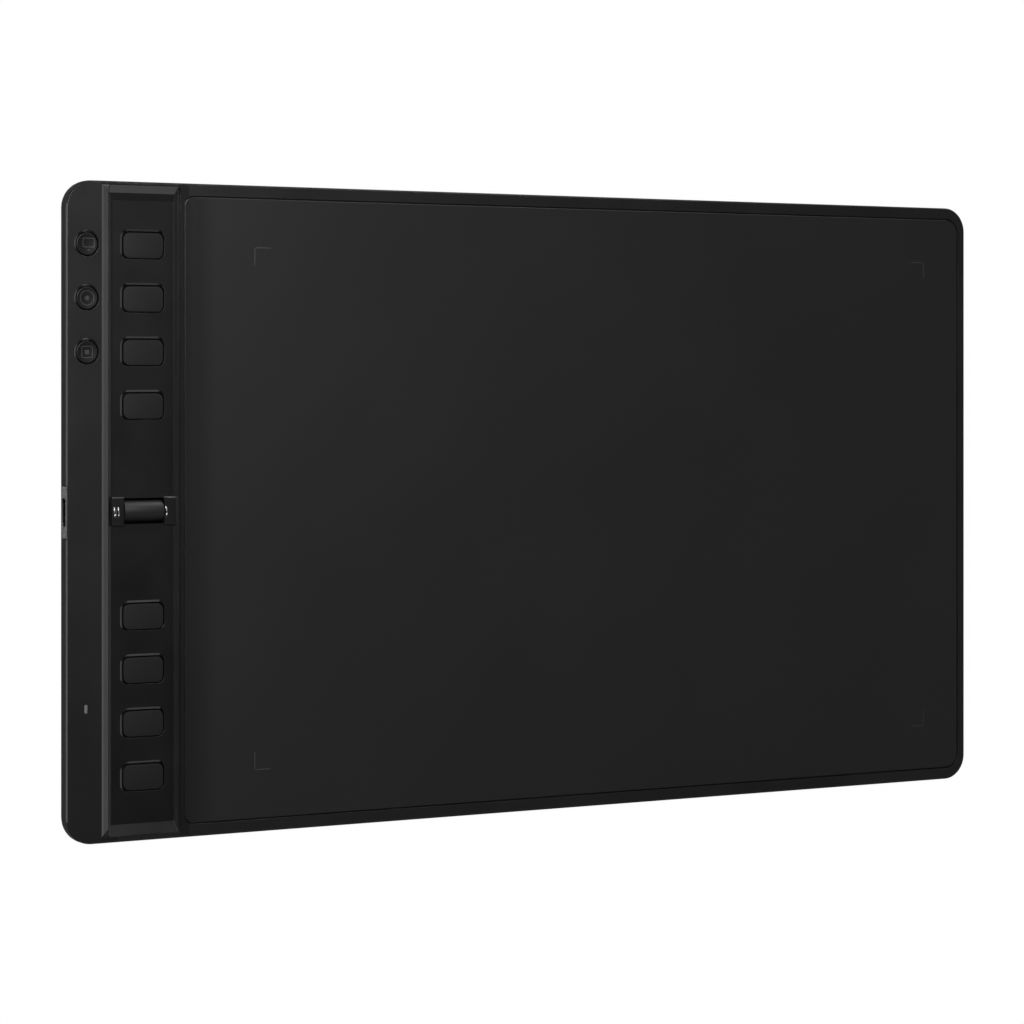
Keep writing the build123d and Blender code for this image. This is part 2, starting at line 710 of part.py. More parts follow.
with BuildPart() as roller_collars:
    for place, width in ((-collar_left_outer[0], collar_left_outer[1]),
                         (-collar_left_inner[0], collar_left_inner[1]),
                         (collar_right[0], collar_right[1])):
        with BuildSketch(on_axis(place - width / 2)):
            Circle(collar_radius)
            Circle(axle_radius, mode=Mode.SUBTRACT)
        extrude(amount=width)
roller_collars.part.label = "roller_collars"
export_step(roller_collars.part, "parts/roller_collars.step")

with BuildPart() as encoder_rotor:
    with BuildSketch(on_axis(encoder_place - encoder_thickness / 2)):
        Circle(rotor_radius)
        Circle(axle_radius, mode=Mode.SUBTRACT)
    extrude(amount=encoder_thickness)
encoder_rotor.part.label = "encoder_rotor"
export_step(encoder_rotor.part, "parts/encoder_rotor.step")

# Cradle on the key board, with a bearing at each end of the roller
with BuildPart() as roller_cradle:
    cradle_left = bearing_left + bearing_thickness / 2
    cradle_right = bearing_right + bearing_thickness / 2
    window_half = roller_radius + roller_slot_gap
    with BuildSketch(Plane.XY.offset(z_key_board_top)):
        with Locations((key_x + (cradle_right - cradle_left) / 2, 0)):
            Rectangle(cradle_left + cradle_right, 2 * (window_half + cradle_bar))
            Rectangle(cradle_left + cradle_right - 2 * bearing_thickness, 2 * window_half,
                      mode=Mode.SUBTRACT)
    extrude(amount=cradle_height)
    for place in (-bearing_left, bearing_right):
        with BuildSketch(on_axis(place - bearing_thickness / 2)):
            Circle(bearing_radius)
            with Locations((0, (z_key_board_top - z_roller) / 2)):
                Rectangle(2 * bearing_radius, z_roller - z_key_board_top)
            Circle(axle_radius + axle_fit, mode=Mode.SUBTRACT)
        extrude(amount=bearing_thickness)
roller_cradle.part.label = "roller_cradle"
export_step(roller_cradle.part, "parts/roller_cradle.step")

with BuildPart() as encoder_body:
    with BuildSketch(on_axis(encoder_place - encoder_thickness / 2)):
        Circle(encoder_radius)
        with Locations((0, (z_key_board_top - z_roller) / 2)):
            Rectangle(2 * encoder_radius, z_roller - z_key_board_top)
        Circle(rotor_radius + axle_fit, mode=Mode.SUBTRACT)
    extrude(amount=encoder_thickness)
encoder_body.part.label = "encoder_body"
export_step(encoder_body.part, "parts/encoder_body.step")

# Port: steel shell, plastic tongue and its contacts
port_plane = Plane(origin=(left + port_notch, 0, z_port), x_dir=(0, 1, 0), z_dir=(1, 0, 0))
with BuildPart() as usb_shell:
    with BuildSketch(port_plane):
        SlotOverall(port_shell_width, port_shell_height)
    extrude(amount=port_depth)
    with BuildSketch(port_plane):
        SlotOverall(port_shell_width - 2 * port_shell_wall, port_shell_height - 2 * port_shell_wall)
    extrude(amount=port_depth - port_shell_wall, mode=Mode.SUBTRACT)
usb_shell.part.label = "usb_shell"
export_step(usb_shell.part, "parts/usb_shell.step")

with BuildPart() as usb_tongue:
    with BuildSketch(port_plane.offset(port_depth - port_shell_wall - tongue_reach)):
        Rectangle(tongue_width, port_tongue)
    extrude(amount=tongue_reach)
usb_tongue.part.label = "usb_tongue"
export_step(usb_tongue.part, "parts/usb_tongue.step")

with BuildPart() as usb_contacts:
    contact_start = port_depth - port_shell_wall - contact_length - contact_width
    with BuildSketch(port_plane.offset(contact_start)):
        with GridLocations(contact_pitch, port_tongue + contact_thickness, contacts_per_side, 2):
            Rectangle(contact_width, contact_thickness)
    extrude(amount=contact_length)
usb_contacts.part.label = "usb_contacts"
export_step(usb_contacts.part, "parts/usb_contacts.step")

# Status light and the clear pipe that brings it to the face of the strip
with BuildPart() as status_led:
    with BuildSketch(Plane((left + light_x, light_y, z_strip_board_top))):
        Rectangle(led_size[0], led_size[1])
    extrude(amount=led_size[2])
status_led.part.label = "status_led"
export_step(status_led.part, "parts/status_led.step")

with BuildPart() as light_pipe:
    pipe_bottom = z_strip_board_top + led_size[2] + cover_gap
    with BuildSketch(Plane((left + light_x, light_y, pipe_bottom))):
        Rectangle(light_width, light_length)
    extrude(amount=z_front - pipe_bottom)
    with BuildSketch(Plane((left + light_x, light_y, z_front_inner - cover_gap))):
        Rectangle(light_width + 2 * light_flange, light_length + 2 * light_flange)
    extrude(amount=-light_flange)
light_pipe.part.label = "light_pipe"
export_step(light_pipe.part, "parts/light_pipe.step")


def make_ribbon(start, end, width):
    """Flat cable between two sockets, with a straight tail in each and a slope between them."""
    tail = (end[0] - start[0]) / 4
    with BuildPart() as ribbon:
        with BuildSketch(Plane.XZ.offset(-ribbon_y - width / 2)):
            with BuildLine():
                Polyline(start, (start[0] + tail, start[1]), (end[0] - tail, end[1]), end,
                         (end[0], end[1] + ribbon_thickness),
                         (end[0] - tail, end[1] + ribbon_thickness),
                         (start[0] + tail, start[1] + ribbon_thickness),
                         (start[0], start[1] + ribbon_thickness), close=True)
            make_face()
        extrude(amount=width)
    return ribbon


sensor_ribbon = make_ribbon((key_board_right, z_key_board_top + socket_height / 2),
                            (sensor_left, z_sensor - socket_height / 2 - ribbon_thickness),
                            ribbon_width)
sensor_ribbon.part.label = "sensor_ribbon"
export_step(sensor_ribbon.part, "parts/sensor_ribbon.step")

strip_ribbon = make_ribbon((strip_board_right, z_strip_board_top + socket_height / 2),
                           (key_board_left, z_key_board_top + socket_height / 2),
                           strip_ribbon_width)
strip_ribbon.part.label = "strip_ribbon"
export_step(strip_ribbon.part, "parts/strip_ribbon.step")

with BuildPart() as ribbon_sockets:
    with BuildSketch(Plane.XY.offset(z_key_board_top)):
        with Locations((key_board_right - socket_depth / 2, ribbon_y)):
            Rectangle(socket_depth, ribbon_width + 2 * socket_side)
        with Locations((key_board_left + socket_depth / 2, ribbon_y)):
            Rectangle(socket_depth, strip_ribbon_width + 2 * socket_side)
    extrude(amount=socket_height)
    with BuildSketch(Plane.XY.offset(z_sensor)):
        with Locations((sensor_left + socket_depth / 2, ribbon_y)):
            Rectangle(socket_depth, ribbon_width + 2 * socket_side)
    extrude(amount=-socket_height)
    with BuildSketch(Plane.XY.offset(z_strip_board_top)):
        with Locations((strip_board_right - socket_depth / 2, ribbon_y)):
            Rectangle(socket_depth, strip_ribbon_width + 2 * socket_side)
    extrude(amount=socket_height)
ribbon_sockets.part.label = "ribbon_sockets"
export_step(ribbon_sockets.part, "parts/ribbon_sockets.step")

# Chips on the key board
with BuildPart() as controller_chips:
    with BuildSketch(Plane.XY.offset(z_key_board_top)):
        with Locations((key_x - chip_side, -chip_y)):
            Rectangle(chip_size, chip_size)
        with Locations((key_x + chip_side, -chip_y)):
            Rectangle(chip_size / 2, chip_size)
        with Locations((key_x, chip_y)):
            Rectangle(chip_size, chip_size / 2)
    extrude(amount=socket_height)
controller_chips.part.label = "controller_chips"
export_step(controller_chips.part, "parts/controller_chips.step")

# Screws: the case's from the back, the boards' from the front
with BuildPart() as case_screws:
    head_z = z_back + case_head_recess
    with BuildSketch(Plane.XY.offset(head_z)):
        with Locations(*case_bosses):
            Circle(case_head_radius)
    extrude(amount=case_head_height)
    with BuildSketch(Plane.XY.offset(head_z)):
        with Locations(*case_bosses):
            Circle(case_screw_radius)
    extrude(amount=z_front_inner - 2 * cover_gap - head_z)
case_screws.part.label = "case_screws"
export_step(case_screws.part, "parts/case_screws.step")

with BuildPart() as board_screws:
    for places, board_z in ((key_board_screws, z_key_board), (strip_board_screws, z_strip_board)):
        with BuildSketch(Plane.XY.offset(board_z + board_thickness)):
            with Locations(*places):
                Circle(board_head_radius)
        extrude(amount=board_head_height)
        with BuildSketch(Plane.XY.offset(board_z - board_screw_bite)):
            with Locations(*places):
                Circle(board_screw_radius)
        extrude(amount=board_screw_bite + board_thickness)
board_screws.part.label = "board_screws"
export_step(board_screws.part, "parts/board_screws.step")

# Rubber feet
with BuildPart() as rubber_feet:
    with BuildSketch(Plane.XY):
        with GridLocations(case_length - 2 * foot_side_inset, case_width - 2 * foot_edge_inset, 2, 2):
            SlotOverall(foot_length, foot_width)
    extrude(amount=foot_proud + foot_recess)
rubber_feet.part.label = "rubber_feet"
export_step(rubber_feet.part, "parts/rubber_feet.step")
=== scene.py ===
# Graphics tablet: finishes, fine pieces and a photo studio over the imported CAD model.
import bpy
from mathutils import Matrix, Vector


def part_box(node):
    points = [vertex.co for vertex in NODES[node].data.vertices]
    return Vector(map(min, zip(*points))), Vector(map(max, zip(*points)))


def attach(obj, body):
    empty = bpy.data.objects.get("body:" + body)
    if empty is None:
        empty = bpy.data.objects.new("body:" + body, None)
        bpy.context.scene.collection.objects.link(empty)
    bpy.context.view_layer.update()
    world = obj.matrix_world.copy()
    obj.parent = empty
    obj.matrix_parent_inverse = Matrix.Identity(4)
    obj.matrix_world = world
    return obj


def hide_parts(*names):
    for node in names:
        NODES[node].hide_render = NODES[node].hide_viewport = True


bl_info = {
    "name": "Graphics Tablet Dressing",
    "version": (1, 0, 0),
    "blender": (4, 5, 0),
    "location": "3D View > Sidebar > Tablet",
    "description": "Gives the packed graphics tablet its finishes, soft edges, keycaps, marks and studio",
    "category": "Object",
}

import math

import bmesh
import bpy
from mathutils import Matrix, Vector

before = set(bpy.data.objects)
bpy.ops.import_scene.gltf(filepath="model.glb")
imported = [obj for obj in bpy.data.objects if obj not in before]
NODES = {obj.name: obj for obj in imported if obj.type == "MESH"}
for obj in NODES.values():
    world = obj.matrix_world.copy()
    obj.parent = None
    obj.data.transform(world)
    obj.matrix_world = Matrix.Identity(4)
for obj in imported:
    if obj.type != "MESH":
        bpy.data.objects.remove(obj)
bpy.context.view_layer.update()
MM = 0.001

# Fixed measures
WELD = 0.5e-6               # vertices nearer to each other than this are one
NEAR = 0.005 * MM           # how closely a vertex has to lie at a level to belong to it
NARROW_RIM = 0.1 * MM       # width of the rims at the front and right
POCKET_CORNER = 2.6 * MM
BUTTON_CORNER = 5 * MM      # more than a button's half width, so that its rim counts as round
KEY_CORNER = 2.1 * MM
FLANGE_CORNER = 0.4 * MM
BUTTON_EDGE = 0.3 * MM      # radius round the face of a mode button
EDGE_STEPS = 6              # rings in the rounded edge of a key or button
DISH_RINGS = 9
SYMBOL_ROOT = 0.05 * MM     # how deep the symbols start in their buttons
MARK_HEIGHT = 0.02 * MM
COLLAR_WIDTHS = (0.8 * MM, 0.5 * MM, 0.6 * MM)  # from left to right
COLLAR_EDGE = 0.1 * MM
SCREW_HEAD_RADIUS = 1.9 * MM
SCREW_HEAD_HEIGHT = 1.3 * MM
SCREW_SHANK_RADIUS = 0.83 * MM
SHELL_EDGE = 0.05 * MM
SOLE_EDGE = 0.25 * MM
FLOOR_DROP = 0.02 * MM      # keeps the floor and the soles out of one plane


def srgb(code):
    """Linear colour of an sRGB hex value."""
    parts = [int(code[i:i + 2], 16) / 255 for i in (0, 2, 4)]
    return tuple(p / 12.92 if p <= 0.04045 else ((p + 0.055) / 1.055) ** 2.4 for p in parts) + (1.0,)


def length(name, description, default):
    """A property for a length."""
    return bpy.props.FloatProperty(name=name, description=description, default=default, min=0.0,
                                   precision=6, subtype="DISTANCE", unit="LENGTH")


def colour(name, description, code):
    """A property for a colour."""
    return bpy.props.FloatVectorProperty(name=name, description=description, default=srgb(code), size=4,
                                         min=0.0, max=1.0, subtype="COLOR")


class TabletSizes(bpy.types.PropertyGroup):
    cover_edge: length("Cover Edge", "Radius that the covers' edges are softened with", 0.12 * MM)
    key_edge: length("Key Edge", "Radius round the face of a key", 0.35 * MM)
    key_flange: length("Key Flange", "How far a key's flange stands out from its cap", 0.75 * MM)
    key_proud: length("Key Height", "How far a key stands out of the channel", 0.5 * MM)
    key_drop: length("Key Drop", "How much lower a key's face is drawn than it is modelled", 0.55 * MM)
    key_slip: length("Key Slip", "How much wider the gap at a key's back and left is drawn", 0.4 * MM)
    key_rim: length("Key Rim", "Width of the sloped rim round a key", 0.45 * MM)
    button_rim: length("Button Rim", "Width of the sloped rim round a mode button", 0.35 * MM)
    rim_widening: length("Rim Widening", "How much wider the back and left rims are drawn", 0.25 * MM)
    rim_slope: bpy.props.FloatProperty(
        name="Rim Slope", description="How steeply the rims slope down", default=math.radians(20),
        min=0.0, subtype="ANGLE", unit="ROTATION")
    flange_height: length("Flange Height", "Thickness of the flange under a key or a button", 0.5 * MM)
    button_dish: length("Button Dish", "Depth of the dish in a mode button", 0.2 * MM)
    button_flange: length("Button Flange", "How far a button's flange stands out from its cap", 0.85 * MM)
    symbol_line: length("Symbol Line", "Width of the raised lines on the mode buttons", 0.28 * MM)
    symbol_height: length("Symbol Height", "How far the symbols stand out of the dish", 0.08 * MM)
    area_length: length("Area Length", "Active area of the sheet from left to right", 266.7 * MM)
    area_width: length("Area Width", "Active area of the sheet from top to bottom", 166.7 * MM)
    area_centre: length("Area Centre", "Middle of the active area, right of the case's middle", 23.05 * MM)
    mark_arm: length("Mark Arm", "Length of an arm of a corner mark", 5.8 * MM)
    mark_line: length("Mark Line", "Width of a corner mark's line", 0.3 * MM)
    sheet_edge: length("Sheet Edge", "Width of the smoother band at the sheet's left side", 11.0 * MM)
    screw_recess: length("Screw Recess", "Width of the blades of the screws' cross recess", 0.55 * MM)
    roller_edge: length("Roller Edge", "Radius at the ends of the roller", 0.2 * MM)


class TabletColours(bpy.types.PropertyGroup):
    case: colour("Case", "Textured ABS of the covers", "171717")
    panel: colour("Panel", "Fine-textured ABS of the recessed channel", "070707")
    sheet: colour("Sheet", "Film of the drawing sheet", "1b1b1b")
    key: colour("Key", "Satin ABS of the keys", "0d0d0d")
    button: colour("Button", "Satin ABS of the mode buttons", "070708")
    # The symbols' grey is lighter than the button's as painted highlight on their relief
    symbol: colour("Symbol", "Raised symbols of the mode buttons", "303133")
    mark: colour("Mark", "Printed corner marks of the active area", "2e3032")
    roller: colour("Roller", "Sleeve of the roller", "0e0f10")
    rubber: colour("Rubber", "Feet", "17181a")


class TabletStudio(bpy.types.PropertyGroup):
    floor: colour("Floor", "Colour of the floor", "c8c8c7")
    floor_white: bpy.props.FloatProperty(
        name="Floor White", description="Share of plain white in the floor as the camera sees it",
        default=0.995, min=0.0, max=1.0, subtype="FACTOR")
    mirrored_white: bpy.props.FloatProperty(
        name="Mirrored White", description="Brightness of the floor as gloss and glass see it",
        default=0.16, min=0.0, max=1.0, subtype="FACTOR")
    horizon: bpy.props.FloatProperty(
        name="Horizon", description="Brightness of the studio walls", default=0.2, min=0.0)
    ceiling: bpy.props.FloatProperty(
        name="Ceiling", description="Brightness of the studio ceiling", default=0.01, min=0.0)
    key_power: bpy.props.FloatProperty(
        name="Key Lamp", description="Power of the softbox at the upper left", default=5.1, min=0.0,
        subtype="POWER", unit="POWER")
    edge_power: bpy.props.FloatProperty(
        name="Edge Lamps", description="Power of the low softboxes that draw the edges", default=0.9,
        min=0.0, subtype="POWER", unit="POWER")
    top_power: bpy.props.FloatProperty(
        name="Top Lamp", description="Power of the large, weak softbox overhead", default=0.06, min=0.0,
        subtype="POWER", unit="POWER")
    lens: bpy.props.FloatProperty(
        name="Lens", description="Focal length on a 36 mm sensor", default=115.6, min=1.0,
        subtype="DISTANCE_CAMERA", unit="CAMERA")


# Nodes and materials

def add_node(tree, kind, inputs=None, **settings):
    """Adds a node with its settings. An input is a value, or a socket to link."""
    node = tree.nodes.new(kind)
    for name, value in settings.items():
        setattr(node, name, value)
    for name, value in (inputs or {}).items():
        if isinstance(value, bpy.types.NodeSocket):
            tree.links.new(value, node.inputs[name])
        else:
            node.inputs[name].default_value = value
    return node


def shaded(tint, factor):
    """A colour made lighter or darker."""
    return tuple(min(1.0, c * factor) for c in tint[:3]) + (1.0,)


def finish(name, tint, roughness, grain, depth, drift=0.06, patch=25 * MM, rough_drift=0.04, edge=0.0,
           polish=(), **sockets):
    """A material whose colour and roughness drift over the surface and whose grain is a fine bump.

    grain and patch are real sizes: of the fine texture, and of the slow drift. edge is the radius that
    sharp edges are shaded with. polish lists smoother bands: the axis (0 for X, 1 for Y, 2 for Z) and
    place of each, how far from it the polish holds and where it ends, and the share of the roughness
    that is left.
    """
    material = bpy.data.materials.new(name)
    material.use_nodes = True
    tree = material.node_tree
    tree.nodes.clear()
    place = add_node(tree, "ShaderNodeTexCoord").outputs["Object"]
    cloud = add_node(tree, "ShaderNodeTexNoise",
                     {"Vector": place, "Scale": 1 / patch, "Detail": 3.0, "Roughness": 0.5})
    shade = add_node(tree, "ShaderNodeMix",
                     {0: cloud.outputs[0], 6: shaded(tint, 1 - drift), 7: shaded(tint, 1 + drift)},
                     data_type="RGBA")
    fine = add_node(tree, "ShaderNodeTexNoise",
                    {"Vector": place, "Scale": 1 / grain, "Detail": 2.0, "Roughness": 0.55})
    rough = add_node(tree, "ShaderNodeMapRange",
                     {"Value": cloud.outputs[0], "From Min": 0.25, "From Max": 0.75,
                      "To Min": roughness - rough_drift, "To Max": roughness + rough_drift})
    for axis, middle_line, holds, ends, left in polish:
        along = add_node(tree, "ShaderNodeSeparateXYZ", {0: place}).outputs[axis]
        away = add_node(tree, "ShaderNodeMath", {0: along, 1: middle_line}, operation="SUBTRACT")
        away = add_node(tree, "ShaderNodeMath", {0: away.outputs[0]}, operation="ABSOLUTE")
        kept = add_node(tree, "ShaderNodeMapRange",
                        {"Value": away.outputs[0], "From Min": holds, "From Max": ends,
                         "To Min": left, "To Max": 1.0})
        rough = add_node(tree, "ShaderNodeMath", {0: rough.outputs[0], 1: kept.outputs[0]},
                         operation="MULTIPLY")
    bump = add_node(tree, "ShaderNodeBump",
                    {"Height": fine.outputs[0], "Distance": depth, "Strength": 1.0})
    if edge:
        rounded = add_node(tree, "ShaderNodeBevel", {"Radius": edge}, samples=6)
        tree.links.new(rounded.outputs[0], bump.inputs["Normal"])
    shader = add_node(tree, "ShaderNodeBsdfPrincipled",
                      {"Base Color": shade.outputs[2], "Roughness": rough.outputs[0],
                       "Normal": bump.outputs[0],
                       **{key.replace("_", " "): value for key, value in sockets.items()}})
    add_node(tree, "ShaderNodeOutputMaterial", {"Surface": shader.outputs[0]})
    return material


def rim_band(level, left):
    """A band of polish for the rims just under a face, which leaves the face as it is."""
    return 2, level - 0.15 * MM, 0.135 * MM, 0.142 * MM, left


def set_finish(piece, material):
    """Gives a piece one material."""
    piece.data.materials.clear()
    piece.data.materials.append(material)


# Meshes

def new_piece(name, form, body, material, crease=32):
    """An object from a bmesh, smooth below the crease angle, with its finish, riding on a body."""
    mesh = bpy.data.meshes.new(name)
    form.to_mesh(mesh)
    form.free()
    piece = bpy.data.objects.new(name, mesh)
    bpy.context.scene.collection.objects.link(piece)
    mesh.shade_smooth()
    mesh.set_sharp_from_angle(angle=math.radians(crease))
    set_finish(piece, material)
    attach(piece, body)
    return piece


def joined(node):
    """A CAD node's triangles, joined."""
    form = bmesh.new()
    form.from_mesh(NODES[node].data)
    bmesh.ops.remove_doubles(form, verts=form.verts, dist=WELD)
    return form


def plain_mesh(piece):
    """Turns a piece's modifiers into its mesh."""
    graph = bpy.context.evaluated_depsgraph_get()
    mesh = bpy.data.meshes.new_from_object(piece.evaluated_get(graph), preserve_all_data_layers=True,
                                           depsgraph=graph)
    piece.modifiers.clear()
    piece.data = mesh


def keep_steps(piece, broad=0.8 * MM, least=1.0, most=4.5):
    """Keeps the shallow steps at broad faces sharp, such as the foot of a ramp."""
    form = bmesh.new()
    form.from_mesh(piece.data)
    for edge in form.edges:
        wide = [2 * face.calc_area() / max(e.calc_length() for e in face.edges) > broad
                for face in edge.link_faces]
        turn = math.degrees(edge.calc_face_angle(0.0)) if len(wide) == 2 else 0.0
        if turn > least and all(wide) or turn > most and any(wide):
            edge.smooth = False
    form.to_mesh(piece.data)
    form.free()


def smoothed(node, name, body, material, edge=0.0, form=None):
    """Stands for a CAD node with the same shape, its curves smooth and its edges softened if asked."""
    form = form or joined(node)
    if edge:
        bmesh.ops.dissolve_limit(form, angle_limit=math.radians(0.3), verts=form.verts, edges=form.edges)
    piece = new_piece(name, form, body, material, crease=8.5)
    keep_steps(piece)
    if edge:
        bevel = piece.modifiers.new("Edges", "BEVEL")
        bevel.width = edge
        bevel.segments = 2
        bevel.limit_method = "ANGLE"
        bevel.angle_limit = math.radians(32)
        bevel.use_clamp_overlap = False
    # Small faces take the broad faces' normals, so that those stay flat in the light
    even = piece.modifiers.new("Even", "WEIGHTED_NORMAL")
    even.keep_sharp = True
    plain_mesh(piece)
    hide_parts(node)
    return piece


def ease_rims(form, level, rim, wider, slope, corner, nodes):
    """Makes the back and left rims of pockets wide and shallow, so that they shine, the others narrow.

    level is the height of the face with the pockets, rim and corner are their rims' width and corner
    radius, and the nodes are the caps in them. share is 1 where a rim faces the back or left.
    """
    for node in nodes:
        low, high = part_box(node)
        centre, half = (low + high) / 2, (high - low) / 2
        inner = Vector((max(0.0, half.x - corner), max(0.0, half.y - corner)))
        for vert in form.verts:
            place = (vert.co - centre).xy
            if abs(place.x) > half.x or abs(place.y) > half.y:
                continue
            flat = Vector((min(inner.x, max(-inner.x, place.x)), min(inner.y, max(-inner.y, place.y))))
            outward = (place - flat).normalized()
            share = min(1.0, max(0.0, 0.5 + outward.y - outward.x))
            if abs(vert.co.z - (level - rim)) < NEAR:
                shallow = (rim + wider * share) * math.tan(slope)
                vert.co.z = level - share * shallow - (1 - share) * rim
            elif abs(vert.co.z - level) < NEAR:
                shift = wider * share - (rim - NARROW_RIM) * (1 - share)
                vert.co.x += outward.x * shift
                vert.co.y += outward.y * shift


def outline(half_x, half_y, radius, steps=6, straight=1):
    """Points of a rounded rectangle round the origin, anticlockwise."""
    points = []
    for turn, (sx, sy) in enumerate(((1, 1), (-1, 1), (-1, -1), (1, -1))):
        cx, cy = sx * (half_x - radius), sy * (half_y - radius)
        for n in range(steps + 1):
            angle = math.pi / 2 * (turn + n / steps)
            points.append(Vector((cx + radius * math.cos(angle), cy + radius * math.sin(angle))))
    if straight > 1:
        full = []
        for a, b in zip(points, points[1:] + points[:1]):
            share = straight if (b - a).length > 2 * radius / steps else 1
            full += [a.lerp(b, n / share) for n in range(share)]
        points = full
    return points


def shifted(points, x, y):
    """Points moved sideways."""
    return [p + Vector((x, y)) for p in points]


def bridge(form, low, high):
    """Adds the faces between two closed rows of vertices to a form."""
    for n in range(len(low)):
        m = (n + 1) % len(low)
        form.faces.new((low[n], low[m], high[m], high[n]))


def stack(form, x, y, rings, cap=True):
    """Adds rings of (points, height) to a form, one on the next, with both ends closed if cap is set.

    Points with a Z of their own are lifted by it.
    """
    rows = [[form.verts.new((x + p[0], y + p[1], z + sum(p[2:]))) for p in points]
            for points, z in rings]
    for low, high in zip(rows, rows[1:]):
        bridge(form, low, high)
    if cap:
        form.faces.new(list(reversed(rows[0])))
        form.faces.new(rows[-1])
    return rows


def circle(radius, count=64):
    """Points of a circle, anticlockwise."""
    angles = [2 * math.pi * n / count for n in range(count)]
    return [Vector((radius * math.cos(angle), radius * math.sin(angle))) for angle in angles]


# Geometry Nodes

def new_tree(name, sizes):
    """A Geometry Nodes tree with a named input for each size, its material and its input node."""
    tree = bpy.data.node_groups.new(name, "GeometryNodeTree")
    tree.interface.new_socket("Geometry", in_out="INPUT", socket_type="NodeSocketGeometry")
    tree.interface.new_socket("Geometry", in_out="OUTPUT", socket_type="NodeSocketGeometry")
    for label in sizes:
        tree.interface.new_socket(label, in_out="INPUT", socket_type="NodeSocketFloat")
    tree.interface.new_socket("Material", in_out="INPUT", socket_type="NodeSocketMaterial")
    return tree, add_node(tree, "NodeGroupInput")


def close_tree(tree, given, geometry):
    """Ends a tree in plain geometry with its material."""
    real = add_node(tree, "GeometryNodeRealizeInstances", {"Geometry": geometry})
    dressed = add_node(tree, "GeometryNodeSetMaterial",
                       {"Geometry": real.outputs[0], "Material": given.outputs["Material"]})
    add_node(tree, "NodeGroupOutput", {"Geometry": dressed.outputs[0]})


def grown(name, tree, sizes, points, body, material):
    """Runs a tree on points, keeps the result as a plain mesh and rides it on a body."""
    mesh = bpy.data.meshes.new(name)
    mesh.from_pydata(points, [], [])
    piece = bpy.data.objects.new(name, mesh)
    bpy.context.scene.collection.objects.link(piece)
    modifier = piece.modifiers.new("Rule", "NODES")
    modifier.node_group = tree
    given = {**sizes, "Material": material}
    for item in tree.interface.items_tree:
        if item.in_out == "INPUT" and item.name in given:
            modifier[item.identifier] = given[item.name]
    plain_mesh(piece)
    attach(piece, body)
    return piece


def middle(node):
    """Middle of a CAD node."""
    low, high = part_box(node)
    return (low + high) / 2


def radius_of(node):
    """Radius of a CAD node that is round about the X axis."""
    low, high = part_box(node)
    return (high.z - low.z) / 2


def loose_middles(node):
    """Middles of the separate solids of a CAD node, from left to right."""
    form = joined(node)
    left, found = set(form.verts), []
    while left:
        group, edge = set(), [left.pop()]
        while edge:
            vert = edge.pop()
            group.add(vert)
            for link in vert.link_edges:
                other = link.other_vert(vert)
                if other in left:
                    left.remove(other)
                    edge.append(other)
        lows = [min(v.co[i] for v in group) for i in range(3)]
        highs = [max(v.co[i] for v in group) for i in range(3)]
        found.append((Vector(lows) + Vector(highs)) / 2)
    form.free()
    return sorted(found, key=lambda p: (round(p.x, 6), p.y))


class TABLET_OT_covers(bpy.types.Operator):
    """Finish the front and back covers"""
    bl_idname = "tablet.covers"
    bl_label = "Covers"

    def execute(self, context):
        sizes, tints = context.scene.tablet_sizes, context.scene.tablet_colours
        # Injection-moulded ABS with a spark-eroded texture: an even, dry dark grey with soft highlights.
        # The real grain is near 0.1 mm; it is drawn at 0.3 mm so that it shows.
        # The lip, the chamfer beside the channel and the buttons' rims are smoother.
        lip = (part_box("key_panel")[1].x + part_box("drawing_sheet")[0].x) / 2
        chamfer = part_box("key_panel")[0].x + 1 * MM
        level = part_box("top_cover")[1].z
        abs_case = finish("Spark-eroded ABS", tints.case, 0.34, 0.3 * MM, 0.004 * MM,
                          edge=sizes.cover_edge,
                          polish=[(0, lip, 1.2 * MM, 2 * MM, 0.7), (0, chamfer, 2.6 * MM, 3 * MM, 0.75),
                                  rim_band(level, 0.6)], IOR=1.54)
        form = joined("top_cover")
        ease_rims(form, level, sizes.button_rim, sizes.rim_widening, sizes.rim_slope, BUTTON_CORNER,
                  [f"mode_button_{n}" for n in range(1, 4)])
        smoothed("top_cover", "front_cover", "case", abs_case, form=form)
        smoothed("bottom_cover", "back_cover", "case", abs_case)
        return {"FINISHED"}


class TABLET_OT_panel(bpy.types.Operator):
    """Finish the satin panel of the channel"""
    bl_idname = "tablet.panel"
    bl_label = "Channel Panel"

    def execute(self, context):
        sizes, tints = context.scene.tablet_sizes, context.scene.tablet_colours
        # ABS moulded in a finely textured tool: satin black, smoother on the steep part of the upper
        # ramp and on the pockets' rims.
        back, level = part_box("key_panel")[1].y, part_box("key_1")[1].z - sizes.key_proud
        satin = finish("Satin-polished ABS", tints.panel, 0.36, 0.3 * MM, 0.004 * MM, drift=0.04,
                       patch=14 * MM, rough_drift=0.03, edge=sizes.cover_edge,
                       polish=[(1, back, 2.4 * MM, 2.6 * MM, 0.65), rim_band(level, 0.68)], IOR=1.52)
        form = joined("key_panel")
        ease_rims(form, level, sizes.key_rim, sizes.rim_widening, sizes.rim_slope, POCKET_CORNER,
                  [f"key_{n}" for n in range(1, 9)])
        smoothed("key_panel", "channel_panel", "case", satin, form=form)
        return {"FINISHED"}


